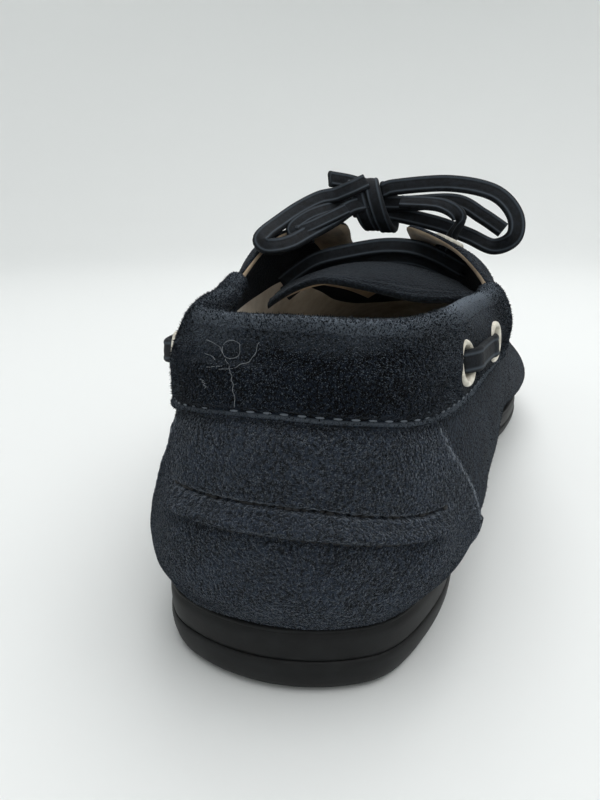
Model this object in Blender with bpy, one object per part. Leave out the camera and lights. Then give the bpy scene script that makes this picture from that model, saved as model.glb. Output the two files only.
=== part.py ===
"""Left boat shoe: rubber sole in two bands, hollow suede upper, collar roll,
heel counter, tongue, insole, eyelets and laces. Metres, +Y to the toe, +X inner side."""
import math

import bmesh
import bpy
import numpy as np

LENGTH = 0.295
BALL_WIDTH = 0.107
COLLAR_HEIGHT = 0.0775
REAR_OVERHANG = 0.0038
GAP = 0.0003

WALL = 0.0020
FEATHER_INSET = 0.0014
LUG_DEPTH = 0.0014
LUG_WIDTH = 0.0018
INSOLE_THICK = 0.0030
INSOLE_INSET = 0.0046
INSOLE_SEAT = 0.0005
TONGUE_THICK = 0.0022
COUNTER_THICK = 0.0012
COUNTER_SEAT = 0.0005
RIDGE_STAND = 0.0020
BAND_THICK = 0.0016
BAND_ROLL = 0.0034
SEAM_STAND = 0.0017
LACE_WIDTH = 0.0056
LACE_THICK = 0.0024
EYELET_OUTER = 0.0102
EYELET_BORE = 0.0076
EYELET_RIM = 0.0009
EYELET_SEAT = 0.0006
BARREL_WALL = 0.0004
HOLE_REACH = 0.0060
CORD_RADIUS = 0.0016

CENTRE_Y = (LENGTH - REAR_OVERHANG) / 2

# y as share of LENGTH; inner and outer half width as share of BALL_WIDTH;
# floor, joint and top of the sole as share of COLLAR_HEIGHT.
SOLE_ROWS = (
    # y, inner, outer, floor, joint, top
    (0.000, 0.000, 0.000, 0.000, 0.096, 0.200),
    (0.011, 0.142, 0.142, 0.000, 0.096, 0.200),
    (0.040, 0.238, 0.240, 0.000, 0.096, 0.199),
    (0.112, 0.300, 0.306, 0.000, 0.095, 0.196),
    (0.190, 0.312, 0.320, 0.000, 0.093, 0.191),
    (0.278, 0.323, 0.338, 0.000, 0.090, 0.184),
    (0.390, 0.325, 0.364, 0.034, 0.084, 0.170),
    (0.498, 0.368, 0.415, 0.000, 0.075, 0.155),
    (0.608, 0.446, 0.466, 0.000, 0.069, 0.146),
    (0.705, 0.474, 0.480, 0.000, 0.069, 0.145),
    (0.812, 0.440, 0.438, 0.013, 0.080, 0.154),
    (0.908, 0.352, 0.318, 0.052, 0.112, 0.180),
    (0.972, 0.216, 0.150, 0.094, 0.146, 0.208),
    (1.000, 0.042, -0.042, 0.118, 0.166, 0.226),
)

# Rings of the upper, each row for the same station as in SOLE_ROWS.
BULGE_ROWS = (
    # y, inner, outer, z
    (-0.0060, 0.000, 0.000, 0.340),
    (0.007, 0.168, 0.162, 0.340),
    (0.049, 0.294, 0.280, 0.342),
    (0.122, 0.362, 0.350, 0.355),
    (0.192, 0.384, 0.370, 0.385),
    (0.278, 0.400, 0.400, 0.410),
    (0.385, 0.418, 0.430, 0.410),
    (0.495, 0.450, 0.470, 0.370),
    (0.603, 0.490, 0.498, 0.340),
    (0.698, 0.500, 0.500, 0.325),
    (0.803, 0.456, 0.452, 0.330),
    (0.897, 0.372, 0.330, 0.350),
    (0.960, 0.232, 0.160, 0.370),
    (0.987, 0.045, -0.045, 0.380),
)
SEAM_ROWS = (
    # y, inner, outer, z, extra z of the outer side
    (0.012, 0.010, -0.010, 0.785, 0.000),
    (0.020, 0.148, 0.130, 0.775, 0.000),
    (0.052, 0.252, 0.216, 0.750, 0.000),
    (0.120, 0.310, 0.274, 0.735, 0.000),
    (0.190, 0.346, 0.314, 0.742, 0.000),
    (0.283, 0.388, 0.380, 0.740, 0.000),
    (0.388, 0.398, 0.404, 0.720, 0.000),
    (0.485, 0.375, 0.392, 0.745, 0.010),
    (0.570, 0.335, 0.342, 0.690, 0.000),
    (0.655, 0.322, 0.325, 0.625, 0.000),
    (0.752, 0.298, 0.285, 0.575, 0.000),
    (0.838, 0.242, 0.212, 0.550, 0.000),
    (0.895, 0.150, 0.098, 0.545, 0.000),
    (0.918, 0.040, -0.040, 0.545, 0.000),
)
CROWN_ROWS = (
    # y, inner, outer, z, extra z of the outer side
    (0.018, 0.020, -0.020, 0.880, 0.000),
    (0.026, 0.146, 0.114, 0.875, 0.000),
    (0.056, 0.244, 0.202, 0.858, 0.004),
    (0.120, 0.294, 0.266, 0.848, 0.004),
    (0.190, 0.336, 0.306, 0.848, 0.004),
    (0.288, 0.384, 0.376, 0.860, 0.010),
    (0.368, 0.340, 0.368, 0.975, 0.050),
    (0.444, 0.266, 0.290, 1.005, 0.060),
    (0.510, 0.236, 0.246, 0.925, 0.035),
    (0.566, 0.216, 0.218, 0.840, 0.010),
    (0.628, 0.180, 0.178, 0.775, 0.000),
    (0.686, 0.128, 0.120, 0.735, 0.000),
    (0.722, 0.068, 0.056, 0.715, 0.000),
    (0.735, 0.012, -0.012, 0.710, 0.000),
)
TOP_ROWS = (
    # y, inner, outer, z, extra z of the outer side
    (0.028, 0.034, -0.034, 0.950, 0.000),
    (0.035, 0.142, 0.088, 0.944, 0.004),
    (0.060, 0.228, 0.176, 0.932, 0.010),
    (0.120, 0.274, 0.242, 0.920, 0.012),
    (0.190, 0.312, 0.282, 0.918, 0.012),
    (0.280, 0.362, 0.342, 0.935, 0.012),
    (0.345, 0.262, 0.272, 1.065, 0.045),
    (0.405, 0.106, 0.116, 1.140, 0.010),
    (0.455, 0.104, 0.106, 1.050, 0.008),
    (0.500, 0.100, 0.100, 0.985, 0.000),
    (0.530, 0.088, 0.088, 0.955, 0.000),
    (0.547, 0.064, 0.064, 0.938, 0.000),
    (0.555, 0.032, 0.032, 0.930, 0.000),
    (0.558, 0.000, 0.000, 0.926, 0.000),
)
STATIONS = len(SOLE_ROWS) - 1

# Heights over the upper's length from sole to top edge, in rings of five tables.
LEVELS = (0.0, 0.4, 0.75, 1.1, 1.5, 1.9, 2.0, 2.1, 2.5, 2.85, 3.2, 3.6, 4.0)

# Tongue rows: y share of LENGTH, half widths share of BALL_WIDTH, crest and side drops share of COLLAR_HEIGHT.
TONGUE_ROWS = (
    # y, inner, outer, crest, inner drop, outer drop
    (0.602, 0.120, 0.120, 0.807, 0.060, 0.060),
    (0.570, 0.150, 0.150, 0.849, 0.060, 0.060),
    (0.530, 0.175, 0.175, 0.891, 0.062, 0.062),
    (0.480, 0.200, 0.200, 0.936, 0.070, 0.070),
    (0.430, 0.225, 0.225, 0.978, 0.070, 0.080),
    (0.380, 0.255, 0.250, 0.990, 0.065, 0.085),
    (0.335, 0.278, 0.262, 0.970, 0.058, 0.090),
    (0.300, 0.286, 0.255, 0.945, 0.040, 0.085),
)

# Eyelets: station round the shoe on the inner and the outer side, and level on the upper.
EYELETS = (
    # name, inner, outer, level
    ("rear", 3.04, 3.46, 2.50),
    ("second", 4.24, 4.42, 2.46),
    ("third", 5.36, 5.36, 2.50),
    ("fourth", 6.20, 6.20, 2.45),
    ("upper", 6.85, 6.85, 3.40),
    ("lower", 8.40, 8.40, 3.35),
)
EYELET_STEPS = 10

# Lace over an eyelet's rim: distance from the bore and stand from the upper.
SIDE_LACE_ROWS = ((0.0, -0.0055), (0.0, -0.0015), (0.0007, 0.0016), (0.0030, 0.0036), (0.0062, 0.0042))

# Lace pieces: x as share of BALL_WIDTH, y from the back of the sole as share of LENGTH,
# z as share of COLLAR_HEIGHT.
LACE_BAR_ROWS = (
    (-0.1822, 0.3898, 0.9935),
    (-0.1028, 0.3932, 1.0232),
    (0.0187, 0.3966, 1.0529),
    (0.1121, 0.4034, 1.0477),
    (0.1869, 0.4102, 1.0116),
)
STRAND_ROWS = {
    "inner": (
        (0.2477, 0.4085, 1.1677),
        (0.1916, 0.4102, 1.2194),
        (0.0654, 0.4169, 1.2323),
    ),
    "outer": (
        (-0.2336, 0.4203, 1.1806),
        (-0.1495, 0.4322, 1.2387),
        (-0.0336, 0.4380, 1.2697),
    ),
}
KNOT_CENTRE = (0.0000, 0.4305, 1.2194)
KNOT_TURNS = 1.75
KNOT_REACH = 0.0058
KNOT_RADIUS = 0.0060
KNOT_CORD = 0.0024
END_LEFT_ROWS = (
    (0.0794, 0.4654, 1.1677),
    (0.0514, 0.4664, 1.2065),
    (0.0000, 0.4664, 1.2490),
    (-0.0561, 0.4610, 1.2877),
    (-0.1028, 0.4407, 1.3135),
    (-0.1589, 0.4169, 1.3290),
)
END_RIGHT_ROWS = (
    (0.0776, 0.4458, 1.2258),
    (0.2243, 0.4492, 1.2323),
    (0.3084, 0.4475, 1.1742),
    (0.3738, 0.4441, 1.1161),
)
LOOP_LEFT_ROWS = (
    (-0.0794, 0.4034, 1.2129),
    (-0.1271, 0.3898, 1.1652),
    (-0.1850, 0.3610, 1.1123),
    (-0.2187, 0.3407, 1.0800),
    (-0.2495, 0.3237, 1.0671),
    (-0.2766, 0.3136, 1.0697),
    (-0.2925, 0.3146, 1.0916),
    (-0.2869, 0.3254, 1.1174),
    (-0.2682, 0.3492, 1.1523),
    (-0.2308, 0.3763, 1.2026),
    (-0.1794, 0.4017, 1.2542),
    (-0.1318, 0.4153, 1.2787),
)
LOOP_RIGHT_ROWS = (
    (0.0430, 0.4322, 1.2942),
    (0.2056, 0.4288, 1.3071),
    (0.3364, 0.4220, 1.2710),
    (0.4019, 0.4153, 1.1871),
    (0.4065, 0.4119, 1.0968),
    (0.3505, 0.4271, 1.0516),
    (0.2710, 0.4475, 1.0903),
    (0.1776, 0.4542, 1.1355),
    (0.0682, 0.4492, 1.1716),
)

# Heel counter: its levels at the heel, its top level by station from the outer to the inner side, and the ridge
# across it.
COUNTER_LEVELS = (0.08, 0.40, 0.75, 1.10, 1.205, 1.225, 1.27, 1.32, 1.36, 1.375, 1.50, 1.64, 1.76)
COUNTER_TOP = ((-2.35, 0.95), (-2.02, 1.43), (-1.62, 1.76), (2.35, 1.76), (2.84, 1.33), (3.08, 0.95))
COUNTER_OUTER_STATIONS = (-2.35, -2.27, -2.19, -2.10, -2.02)
COUNTER_INNER_STATIONS = (2.46, 2.58, 2.71, 2.84, 2.96, 3.08)
RIDGE_MIDDLE = 0.40
RIDGE_REACH = 1.85
RIDGE_LOW = 1.22
RIDGE_HIGH = 1.37

# Collar roll: its end stations, and the levels of its outer and inner face.
BAND_END = 5.00
BAND_OUTER_LEVELS = (1.83, 1.90, 2.00, 2.10, 2.50, 2.85, 3.20, 3.60, 3.85)
BAND_INNER_LEVELS = (3.80, 3.60, 3.20)

LUG_ROWS = (
    # y share of LENGTH, bow of the groove in metres
    (0.060, 0.004),
    (0.105, 0.004),
    (0.150, 0.004),
    (0.195, 0.004),
    (0.240, 0.004),
    (0.500, -0.006),
    (0.545, -0.006),
    (0.590, -0.006),
    (0.635, -0.006),
    (0.680, -0.006),
)


def clear_scene():
    for obj in list(bpy.data.objects):
        bpy.data.objects.remove(obj, do_unlink=True)


def collection(name, hidden):
    made = bpy.data.collections.new(name)
    made.hide_render = hidden
    bpy.context.scene.collection.children.link(made)
    return made


def material(name, colour, roughness, metallic):
    made = bpy.data.materials.new(name)
    made.use_nodes = True
    shader = made.node_tree.nodes["Principled BSDF"]
    shader.inputs["Base Color"].default_value = (*colour, 1.0)
    shader.inputs["Roughness"].default_value = roughness
    shader.inputs["Metallic"].default_value = metallic
    return made


def add_mesh(name, points, faces, surface, home):
    mesh = bpy.data.meshes.new(name)
    mesh.from_pydata([tuple(p) for p in np.asarray(points)], [], [tuple(f) for f in faces])
    work = bmesh.new()
    work.from_mesh(mesh)
    bmesh.ops.remove_doubles(work, verts=work.verts[:], dist=1e-6)
    bmesh.ops.recalc_face_normals(work, faces=work.faces[:])
    if work.calc_volume(signed=True) < 0:
        bmesh.ops.reverse_faces(work, faces=work.faces[:])
    work.to_mesh(mesh)
    work.free()
    obj = bpy.data.objects.new(name, mesh)
    obj.data.materials.append(surface)
    home.objects.link(obj)
    return obj


def cut(obj, cutter, operation="DIFFERENCE"):
    cutter.hide_render = True
    cutter.display_type = "WIRE"
    step = obj.modifiers.new(cutter.name, "BOOLEAN")
    step.operation = operation
    step.solver = "EXACT"
    step.object = cutter


def spline(rows, at):
    """Uniform Catmull-Rom through rows at parameter at, rows given with one extra at each end."""
    at = np.asarray(at, float)
    low = np.clip(np.floor(at).astype(int), 0, len(rows) - 4)
    t = (at - low)[..., None]
    p0 = rows[low]
    p1 = rows[low + 1]
    p2 = rows[low + 2]
    p3 = rows[low + 3]
    pull = 2 * p0 - 5 * p1 + 4 * p2 - p3
    bend = 3 * p1 - p0 - 3 * p2 + p3
    return 0.5 * (2 * p1 + (p2 - p0) * t + pull * t**2 + bend * t**3)


def sole_heights(share, column):
    """Floor, joint or top of the sole over y, eased between rows so that flats stay flat."""
    rows = np.array(SOLE_ROWS)
    share = np.clip(share, 0.0, 1.0)
    place = np.clip(np.searchsorted(rows[:, 0], share, side="right") - 1, 0, len(rows) - 2)
    span = rows[place + 1, 0] - rows[place, 0]
    t = (share - rows[place, 0]) / span
    t = t * t * (3 - 2 * t)
    low = rows[place, column]
    return COLLAR_HEIGHT * (low + (rows[place + 1, column] - low) * t)


def closed_rows(table):
    """The table as one ring: heel, inner side, toe, outer side, in metres with x to the inner side."""
    rows = np.array(table)
    inner = np.stack([rows[:, 1] * BALL_WIDTH, rows[:, 0] * LENGTH - CENTRE_Y], axis=1)
    outer = np.stack([-rows[:, 2] * BALL_WIDTH, rows[:, 0] * LENGTH - CENTRE_Y], axis=1)
    if len(table[0]) == len(SOLE_ROWS[0]):
        height = sole_heights(rows[:, 0], 5)
    else:
        height = rows[:, 3] * COLLAR_HEIGHT
    extra = rows[:, 4] * COLLAR_HEIGHT if len(table[0]) == len(TOP_ROWS[0]) else 0.0
    inner = np.column_stack([inner, height])
    outer = np.column_stack([outer, height + extra])
    return np.concatenate([inner, outer[-2:0:-1]])


def ring_point(table, station):
    """Point of a ring at a station; negative stations run along the outer side."""
    ring = closed_rows(table)
    count = len(ring)
    padded = np.concatenate([ring[-1:], ring, ring[:2]])
    return spline(padded, np.mod(station, count))


def sole_edge(station, inset):
    """Outline of the sole, moved inwards by inset."""
    step = 0.02
    here = ring_point(SOLE_ROWS, station)[..., :2]
    along = ring_point(SOLE_ROWS, station + step)[..., :2] - ring_point(SOLE_ROWS, station - step)[..., :2]
    along /= np.linalg.norm(along, axis=-1, keepdims=True)
    inward = np.stack([-along[..., 1], along[..., 0]], axis=-1)
    return here + inward * inset


def with_height(plan, column, lift):
    share = (plan[..., 1] + CENTRE_Y) / LENGTH
    return np.concatenate([plan, (sole_heights(share, column) + lift)[..., None]], axis=-1)


def upper_point(station, level):
    """Outer face of the upper: station round the shoe, level 0 at the sole to 4 at the top edge."""
    station, level = np.broadcast_arrays(np.asarray(station, float), np.asarray(level, float))
    feather = with_height(sole_edge(station, FEATHER_INSET), 5, GAP)
    rings = [feather] + [ring_point(table, station) for table in (BULGE_ROWS, SEAM_ROWS, CROWN_ROWS, TOP_ROWS)]
    first = 2 * rings[0] - rings[1]
    last = 2 * rings[4] - rings[3]
    rows = np.stack([first] + rings + [last])
    low = np.clip(np.floor(level).astype(int), 0, 3)
    t = (level - low)[..., None]
    picked = [np.take_along_axis(rows, (low + k)[None, ..., None], axis=0)[0] for k in range(4)]
    p0, p1, p2, p3 = picked
    pull = 2 * p0 - 5 * p1 + 4 * p2 - p3
    bend = 3 * p1 - p0 - 3 * p2 + p3
    return 0.5 * (2 * p1 + (p2 - p0) * t + pull * t**2 + bend * t**3)


def upper_normal(station, level):
    step = 0.03
    low = np.clip(level - step, 0, 4)
    high = np.clip(level + step, 0, 4)
    around = upper_point(station + step, level) - upper_point(station - step, level)
    up = upper_point(station, high) - upper_point(station, low)
    normal = np.cross(around, up)
    return normal / np.linalg.norm(normal, axis=-1, keepdims=True)


def skin_tables():
    """Points and normals of the upper's outer face at its own facets' corners."""
    half = station_list()[: len(station_list()) // 2 + 1]
    stations = np.concatenate([-half[:0:-1], half])
    levels = np.array(LEVELS)
    grid_stations, grid_levels = np.meshgrid(stations, levels, indexing="ij")
    return stations, levels, upper_point(grid_stations, grid_levels), upper_normal(grid_stations, grid_levels)


def skin(station, level, stand):
    """Point at a distance outside the upper's faceted outer face."""
    station, level, stand = np.broadcast_arrays(*(np.asarray(v, float) for v in (station, level, stand)))
    stations, levels, points, normals = SKIN
    i = np.clip(np.searchsorted(stations, station, side="right") - 1, 0, len(stations) - 2)
    j = np.clip(np.searchsorted(levels, level, side="right") - 1, 0, len(levels) - 2)
    s = ((station - stations[i]) / (stations[i + 1] - stations[i]))[..., None]
    t = ((level - levels[j]) / (levels[j + 1] - levels[j]))[..., None]
    found = []
    for table in (points, normals):
        low = table[i, j] * (1 - s) + table[i + 1, j] * s
        high = table[i, j + 1] * (1 - s) + table[i + 1, j + 1] * s
        found.append(low * (1 - t) + high * t)
    return found[0] + found[1] * stand[..., None]


def cap_faces(count, first):
    """Faces across a ring of the sole that starts at point first, in strips from side to side."""
    half = count // 2
    faces = [(first, first + 1, first + count - 1)]
    for i in range(1, half - 1):
        faces.append((first + i, first + i + 1, first + count - i - 1, first + count - i))
    faces.append((first + half - 1, first + half, first + half + 1))
    return faces


def grid_faces(rows, columns, round_rows, round_columns, first=0):
    faces = []
    for i in range(rows if round_rows else rows - 1):
        for j in range(columns if round_columns else columns - 1):
            a = i * columns + j
            b = i * columns + (j + 1) % columns
            c = ((i + 1) % rows) * columns + (j + 1) % columns
            d = ((i + 1) % rows) * columns + j
            faces.append((first + a, first + b, first + c, first + d))
    return faces


def strip_solid(sections, closed):
    """Solid through closed sections, each an array of points, capped at both ends when open."""
    sections = np.asarray(sections)
    rows, columns = sections.shape[:2]
    faces = grid_faces(rows, columns, closed, True)
    if not closed:
        faces.append(tuple(range(columns))[::-1])
        faces.append(tuple((rows - 1) * columns + j for j in range(columns)))
    return sections.reshape(-1, 3), faces


def station_list():
    """Stations round the shoe from the heel, closer where the outline turns."""
    half = np.concatenate([np.linspace(0, 3, 7, endpoint=False), np.linspace(3, STATIONS, 21)])
    return np.concatenate([half, -half[-2:0:-1]])


def sole_solid(profile, low_column, high_column):
    """A band of the sole: profile rows are share of the band's height, lift and outset."""
    stations = station_list()
    rings = []
    for share, lift, outset in profile:
        plan = sole_edge(stations, -outset)
        low = with_height(plan, low_column, 0.0)
        high = with_height(plan, high_column, 0.0)
        ring = low + (high - low) * share
        ring[:, 2] += lift
        rings.append(ring)
    count = len(stations)
    points = np.concatenate(rings)
    faces = grid_faces(len(rings), count, False, True)
    faces += cap_faces(count, 0) + cap_faces(count, (len(rings) - 1) * count)
    return points, faces


def lug_cutter(name, share, bow, home, surface):
    """Bowed groove across the tread, deeper than the floor is high there."""
    reach = BALL_WIDTH * 0.37 if share > 0.4 else BALL_WIDTH * 0.24
    across = np.linspace(-1, 1, 9)
    sections = []
    for x in across:
        y = share * LENGTH - CENTRE_Y + bow * (1 - x * x)
        sections.append([
            (x * reach, y - LUG_WIDTH / 2, -0.002),
            (x * reach, y + LUG_WIDTH / 2, -0.002),
            (x * reach, y + LUG_WIDTH / 2, LUG_DEPTH),
            (x * reach, y - LUG_WIDTH / 2, LUG_DEPTH),
        ])
    points, faces = strip_solid(sections, False)
    return add_mesh(name, points, faces, surface, home)


def seam_stand(station, level):
    """Height of the raised seam round the apron."""
    level, station = np.broadcast_arrays(level, np.abs(station))
    wave = np.clip(1 - np.abs(level - 2.0) / 0.09, 0, 1)
    start = np.clip((station - 7.6) / 0.8, 0, 1)
    return SEAM_STAND * wave * start


def upper_solid():
    stations = station_list()[:, None]
    levels = np.array(LEVELS)[None, :]
    outer = skin(stations, levels, seam_stand(stations, levels))
    inner = skin(stations, levels, -WALL)
    sections = np.concatenate([outer, inner[:, ::-1]], axis=1)
    return strip_solid(sections, True)


def counter_stand(station, level):
    """Thickness of the counter, with the pinched ridge across the heel."""
    lens = np.clip(1 - ((station - RIDGE_MIDDLE) / RIDGE_REACH) ** 4, 0, 1)
    inside = (level > RIDGE_LOW) & (level < RIDGE_HIGH)
    rise = np.clip((RIDGE_HIGH - level) / (RIDGE_HIGH - RIDGE_LOW), 0, 1)
    ridge = np.where(inside, 0.55 + 0.45 * rise, 0.0) * lens * RIDGE_STAND
    return COUNTER_THICK + ridge


def counter_solid():
    base = np.array(COUNTER_LEVELS)
    top = np.array(COUNTER_TOP)
    sections = []
    rear = SKIN[0][(SKIN[0] > COUNTER_OUTER_STATIONS[-1]) & (SKIN[0] < COUNTER_INNER_STATIONS[0])]
    for station in np.concatenate([COUNTER_OUTER_STATIONS, rear, COUNTER_INNER_STATIONS]):
        high = np.interp(station, top[:, 0], top[:, 1])
        levels = np.where(base <= 0.75, base, 0.75 + (base - 0.75) * (high - 0.75) / (base[-1] - 0.75))
        under = skin(station, levels, COUNTER_SEAT)
        over = skin(station, levels, COUNTER_SEAT + counter_stand(station, levels))
        sections.append(np.concatenate([under, over[::-1]]))
    return strip_solid(sections, False)


def band_outer_stand(level):
    """Outer face of the collar roll over the upper's skin."""
    low = BAND_OUTER_LEVELS[0]
    rise = np.clip((level - low) / 0.10, 0, 1)
    return GAP + BAND_THICK * (0.35 + 0.65 * rise)


def band_section(station):
    """Closed section of the collar roll: up the outside, over the edge, down the inside and back."""
    outer_levels = np.array(BAND_OUTER_LEVELS)
    inner_levels = np.array(BAND_INNER_LEVELS)
    outside = skin(station, outer_levels, band_outer_stand(outer_levels))
    out = upper_normal(station, 4.0)
    up = upper_point(station, 4.0) - upper_point(station, 3.9)
    up /= np.linalg.norm(up)
    middle = skin(station, 4.0, -WALL / 2)
    arc = [middle + (out * math.cos(a) + up * math.sin(a)) * BAND_ROLL for a in np.radians((25, 60, 95, 130, 165))]
    deep = WALL + GAP
    inside = skin(station, inner_levels, np.full(len(inner_levels), -deep - BAND_THICK))
    back = skin(station, inner_levels[::-1], np.full(len(inner_levels), -deep))
    over = [middle - out * (WALL / 2 + GAP) + up * GAP, middle + out * (WALL / 2 + GAP) + up * GAP]
    down_levels = outer_levels[::-1]
    down = skin(station, down_levels, np.full(len(down_levels), GAP))
    return np.concatenate([outside, arc, inside, back, over, down])


def place_on_skin(station, level):
    """Centre, outward direction and two tangents, along the outline and up, at a place on the upper."""
    centre = skin(station, level, 0.0)
    out = upper_normal(station, level)
    along = upper_point(station + 0.05, level) - upper_point(station - 0.05, level)
    along = along - out * np.dot(along, out)
    along /= np.linalg.norm(along)
    up = np.cross(out, along)
    return station, level, centre, out, along, up


def over_skin(place, x, y, stand):
    """Point x along and y up from a place, at a stand from the faceted skin along the place's direction."""
    station, level, centre, out, along, up = place
    tangents = np.stack([along, up])
    now = np.array([station, level], float)
    step = 0.01
    for _ in range(6):
        here = skin(now[0], now[1], 0.0)
        by_station = (skin(now[0] + step, now[1], 0.0) - skin(now[0] - step, now[1], 0.0)) / (2 * step)
        by_level = (skin(now[0], now[1] + step, 0.0) - skin(now[0], now[1] - step, 0.0)) / (2 * step)
        slope = tangents @ np.stack([by_station, by_level], axis=1)
        now = now + np.linalg.solve(slope, np.array([x, y]) - tangents @ (here - centre))
    return skin(now[0], now[1], 0.0) + out * stand


def turned_on_skin(place, profile, steps):
    """Ring that follows the upper round a place; profile rows are radius and stand."""
    sections = []
    for k in range(steps):
        angle = 2 * math.pi * k / steps
        arm = (math.cos(angle), math.sin(angle))
        sections.append([over_skin(place, arm[0] * radius, arm[1] * radius, stand) for radius, stand in profile])
    return strip_solid(sections, True)


def bore_through(place, radius, low, high, steps):
    """Plug through the upper at a place, for cutting an eyelet hole."""
    station, level, centre, out, along, up = place
    sections = []
    for stand in (low, high):
        ring = []
        for k in range(steps):
            angle = 2 * math.pi * k / steps
            ring.append(centre + (along * math.cos(angle) + up * math.sin(angle)) * radius + out * stand)
        sections.append(ring)
    return strip_solid(sections, False)


def beside(place, x, y, stand):
    """Point off a place, straight along its own directions."""
    station, level, centre, out, along, up = place
    return centre + along * x + up * y + out * stand


def flat_lace(path, side, width, thick):
    """Flat lace along path, its width along side at each point."""
    path = np.asarray(path)
    along = np.gradient(path, axis=0)
    along /= np.linalg.norm(along, axis=1, keepdims=True)
    side = np.broadcast_to(np.asarray(side, float), path.shape)
    side = side - along * (side * along).sum(axis=1, keepdims=True)
    side /= np.linalg.norm(side, axis=1, keepdims=True)
    up = np.cross(side, along)
    w = width / 2
    t = thick / 2
    shape = ((-1.0, 0.0), (-0.8, 1.0), (0.8, 1.0), (1.0, 0.0), (0.8, -1.0), (-0.8, -1.0))
    sections = [[p + s * a * w + u * b * t for a, b in shape] for p, s, u in zip(path, side, up)]
    return strip_solid(sections, False)


def smooth_path(points, count):
    """Even points along a Catmull-Rom curve through a few points."""
    points = np.asarray(points, float)
    padded = np.concatenate([[2 * points[0] - points[1]], points, [2 * points[-1] - points[-2]]])
    fine = spline(padded, np.linspace(0, len(points) - 1, 40 * len(points)))
    run = np.concatenate([[0], np.cumsum(np.linalg.norm(np.diff(fine, axis=0), axis=1))])
    want = np.linspace(0, run[-1], count)
    return np.stack([np.interp(want, run, fine[:, k]) for k in range(3)], axis=1)


def cord(name, points, radius, surface, home):
    curve = bpy.data.curves.new(name, "CURVE")
    curve.dimensions = "3D"
    curve.bevel_depth = radius
    curve.bevel_resolution = 2
    curve.use_fill_caps = True
    curve.resolution_u = 1
    line = curve.splines.new("POLY")
    line.points.add(len(points) - 1)
    for place, point in zip(line.points, points):
        place.co = (*point, 1.0)
    obj = bpy.data.objects.new(name, curve)
    obj.data.materials.append(surface)
    home.objects.link(obj)
    return obj


SKIN = skin_tables()
clear_scene()
home = collection("boat_shoe", False)
cutters = collection("cutters", True)

suede = material("navy_suede", (0.016, 0.024, 0.045), 0.95, 0.0)
rubber = material("black_rubber", (0.010, 0.010, 0.011), 0.55, 0.0)
rubber_upper = material("black_rubber_midsole", (0.012, 0.012, 0.013), 0.60, 0.0)
counter_suede = material("navy_suede_counter", (0.020, 0.030, 0.052), 0.95, 0.0)
collar_suede = material("navy_suede_collar", (0.018, 0.026, 0.047), 0.95, 0.0)
tongue_suede = material("navy_suede_tongue", (0.014, 0.021, 0.040), 0.95, 0.0)
lining = material("tan_insole", (0.30, 0.17, 0.09), 0.85, 0.0)
cream = material("cream_eyelet", (0.72, 0.68, 0.60), 0.45, 0.0)
lace = material("navy_lace", (0.008, 0.011, 0.020), 0.70, 0.0)

outsole_profile = (
    (0.0, 0.0, -0.0050),
    (0.10, 0.0, -0.0028),
    (0.26, 0.0, -0.0011),
    (0.50, 0.0, 0.0),
    (0.86, 0.0, 0.0004),
    (1.0, -GAP, -0.0008),
)
points, faces = sole_solid(outsole_profile, 3, 4)
outsole = add_mesh("outsole", points, faces, rubber, home)
for number, (share, bow) in enumerate(LUG_ROWS):
    cut(outsole, lug_cutter("groove_%d" % number, share, bow, cutters, rubber))

midsole_profile = (
    (0.0, 0.0, -0.0008),
    (0.12, 0.0, 0.0006),
    (0.80, 0.0, 0.0004),
    (1.0, 0.0, -0.0009),
)
points, faces = sole_solid(midsole_profile, 4, 5)
midsole = add_mesh("midsole", points, faces, rubber_upper, home)

points, faces = upper_solid()
upper = add_mesh("upper", points, faces, suede, home)

stations = station_list()
rings = []
for share, inset in ((0.0, 0.0), (0.7, -0.0003), (1.0, 0.0006)):
    rings.append(with_height(sole_edge(stations, INSOLE_INSET + inset), 5, INSOLE_SEAT + INSOLE_THICK * share))
count = len(stations)
points = np.concatenate(rings)
faces = grid_faces(len(rings), count, False, True)
faces += cap_faces(count, 0) + cap_faces(count, (len(rings) - 1) * count)
insole = add_mesh("insole", points, faces, lining, home)

rows = np.array(TONGUE_ROWS)
padded = np.concatenate([[2 * rows[0] - rows[1]], rows, [2 * rows[-1] - rows[-2]]])
sections = []
for place in np.linspace(0, len(rows) - 1, 15):
    y, inner_half, outer_half, crest, inner_drop, outer_drop = spline(padded, place)
    across = np.linspace(-1, 1, 9)
    x = np.where(across > 0, across * inner_half, across * outer_half) * BALL_WIDTH
    drop = np.where(across > 0, inner_drop, outer_drop)
    z = (crest - drop * across**2) * COLLAR_HEIGHT
    top = np.stack([x, np.full(9, y * LENGTH - CENTRE_Y), z], axis=1)
    bottom = top - np.array([0, 0, TONGUE_THICK])
    sections.append(np.concatenate([top, bottom[::-1]]))
points, faces = strip_solid(sections, False)
tongue = add_mesh("tongue", points, faces, tongue_suede, home)

points, faces = counter_solid()
counter = add_mesh("heel_counter", points, faces, counter_suede, home)

sections = [band_section(station) for station in SKIN[0][np.abs(SKIN[0]) <= BAND_END + 1e-6]]
points, faces = strip_solid(sections, False)
band = add_mesh("collar_roll", points, faces, collar_suede, home)

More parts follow.
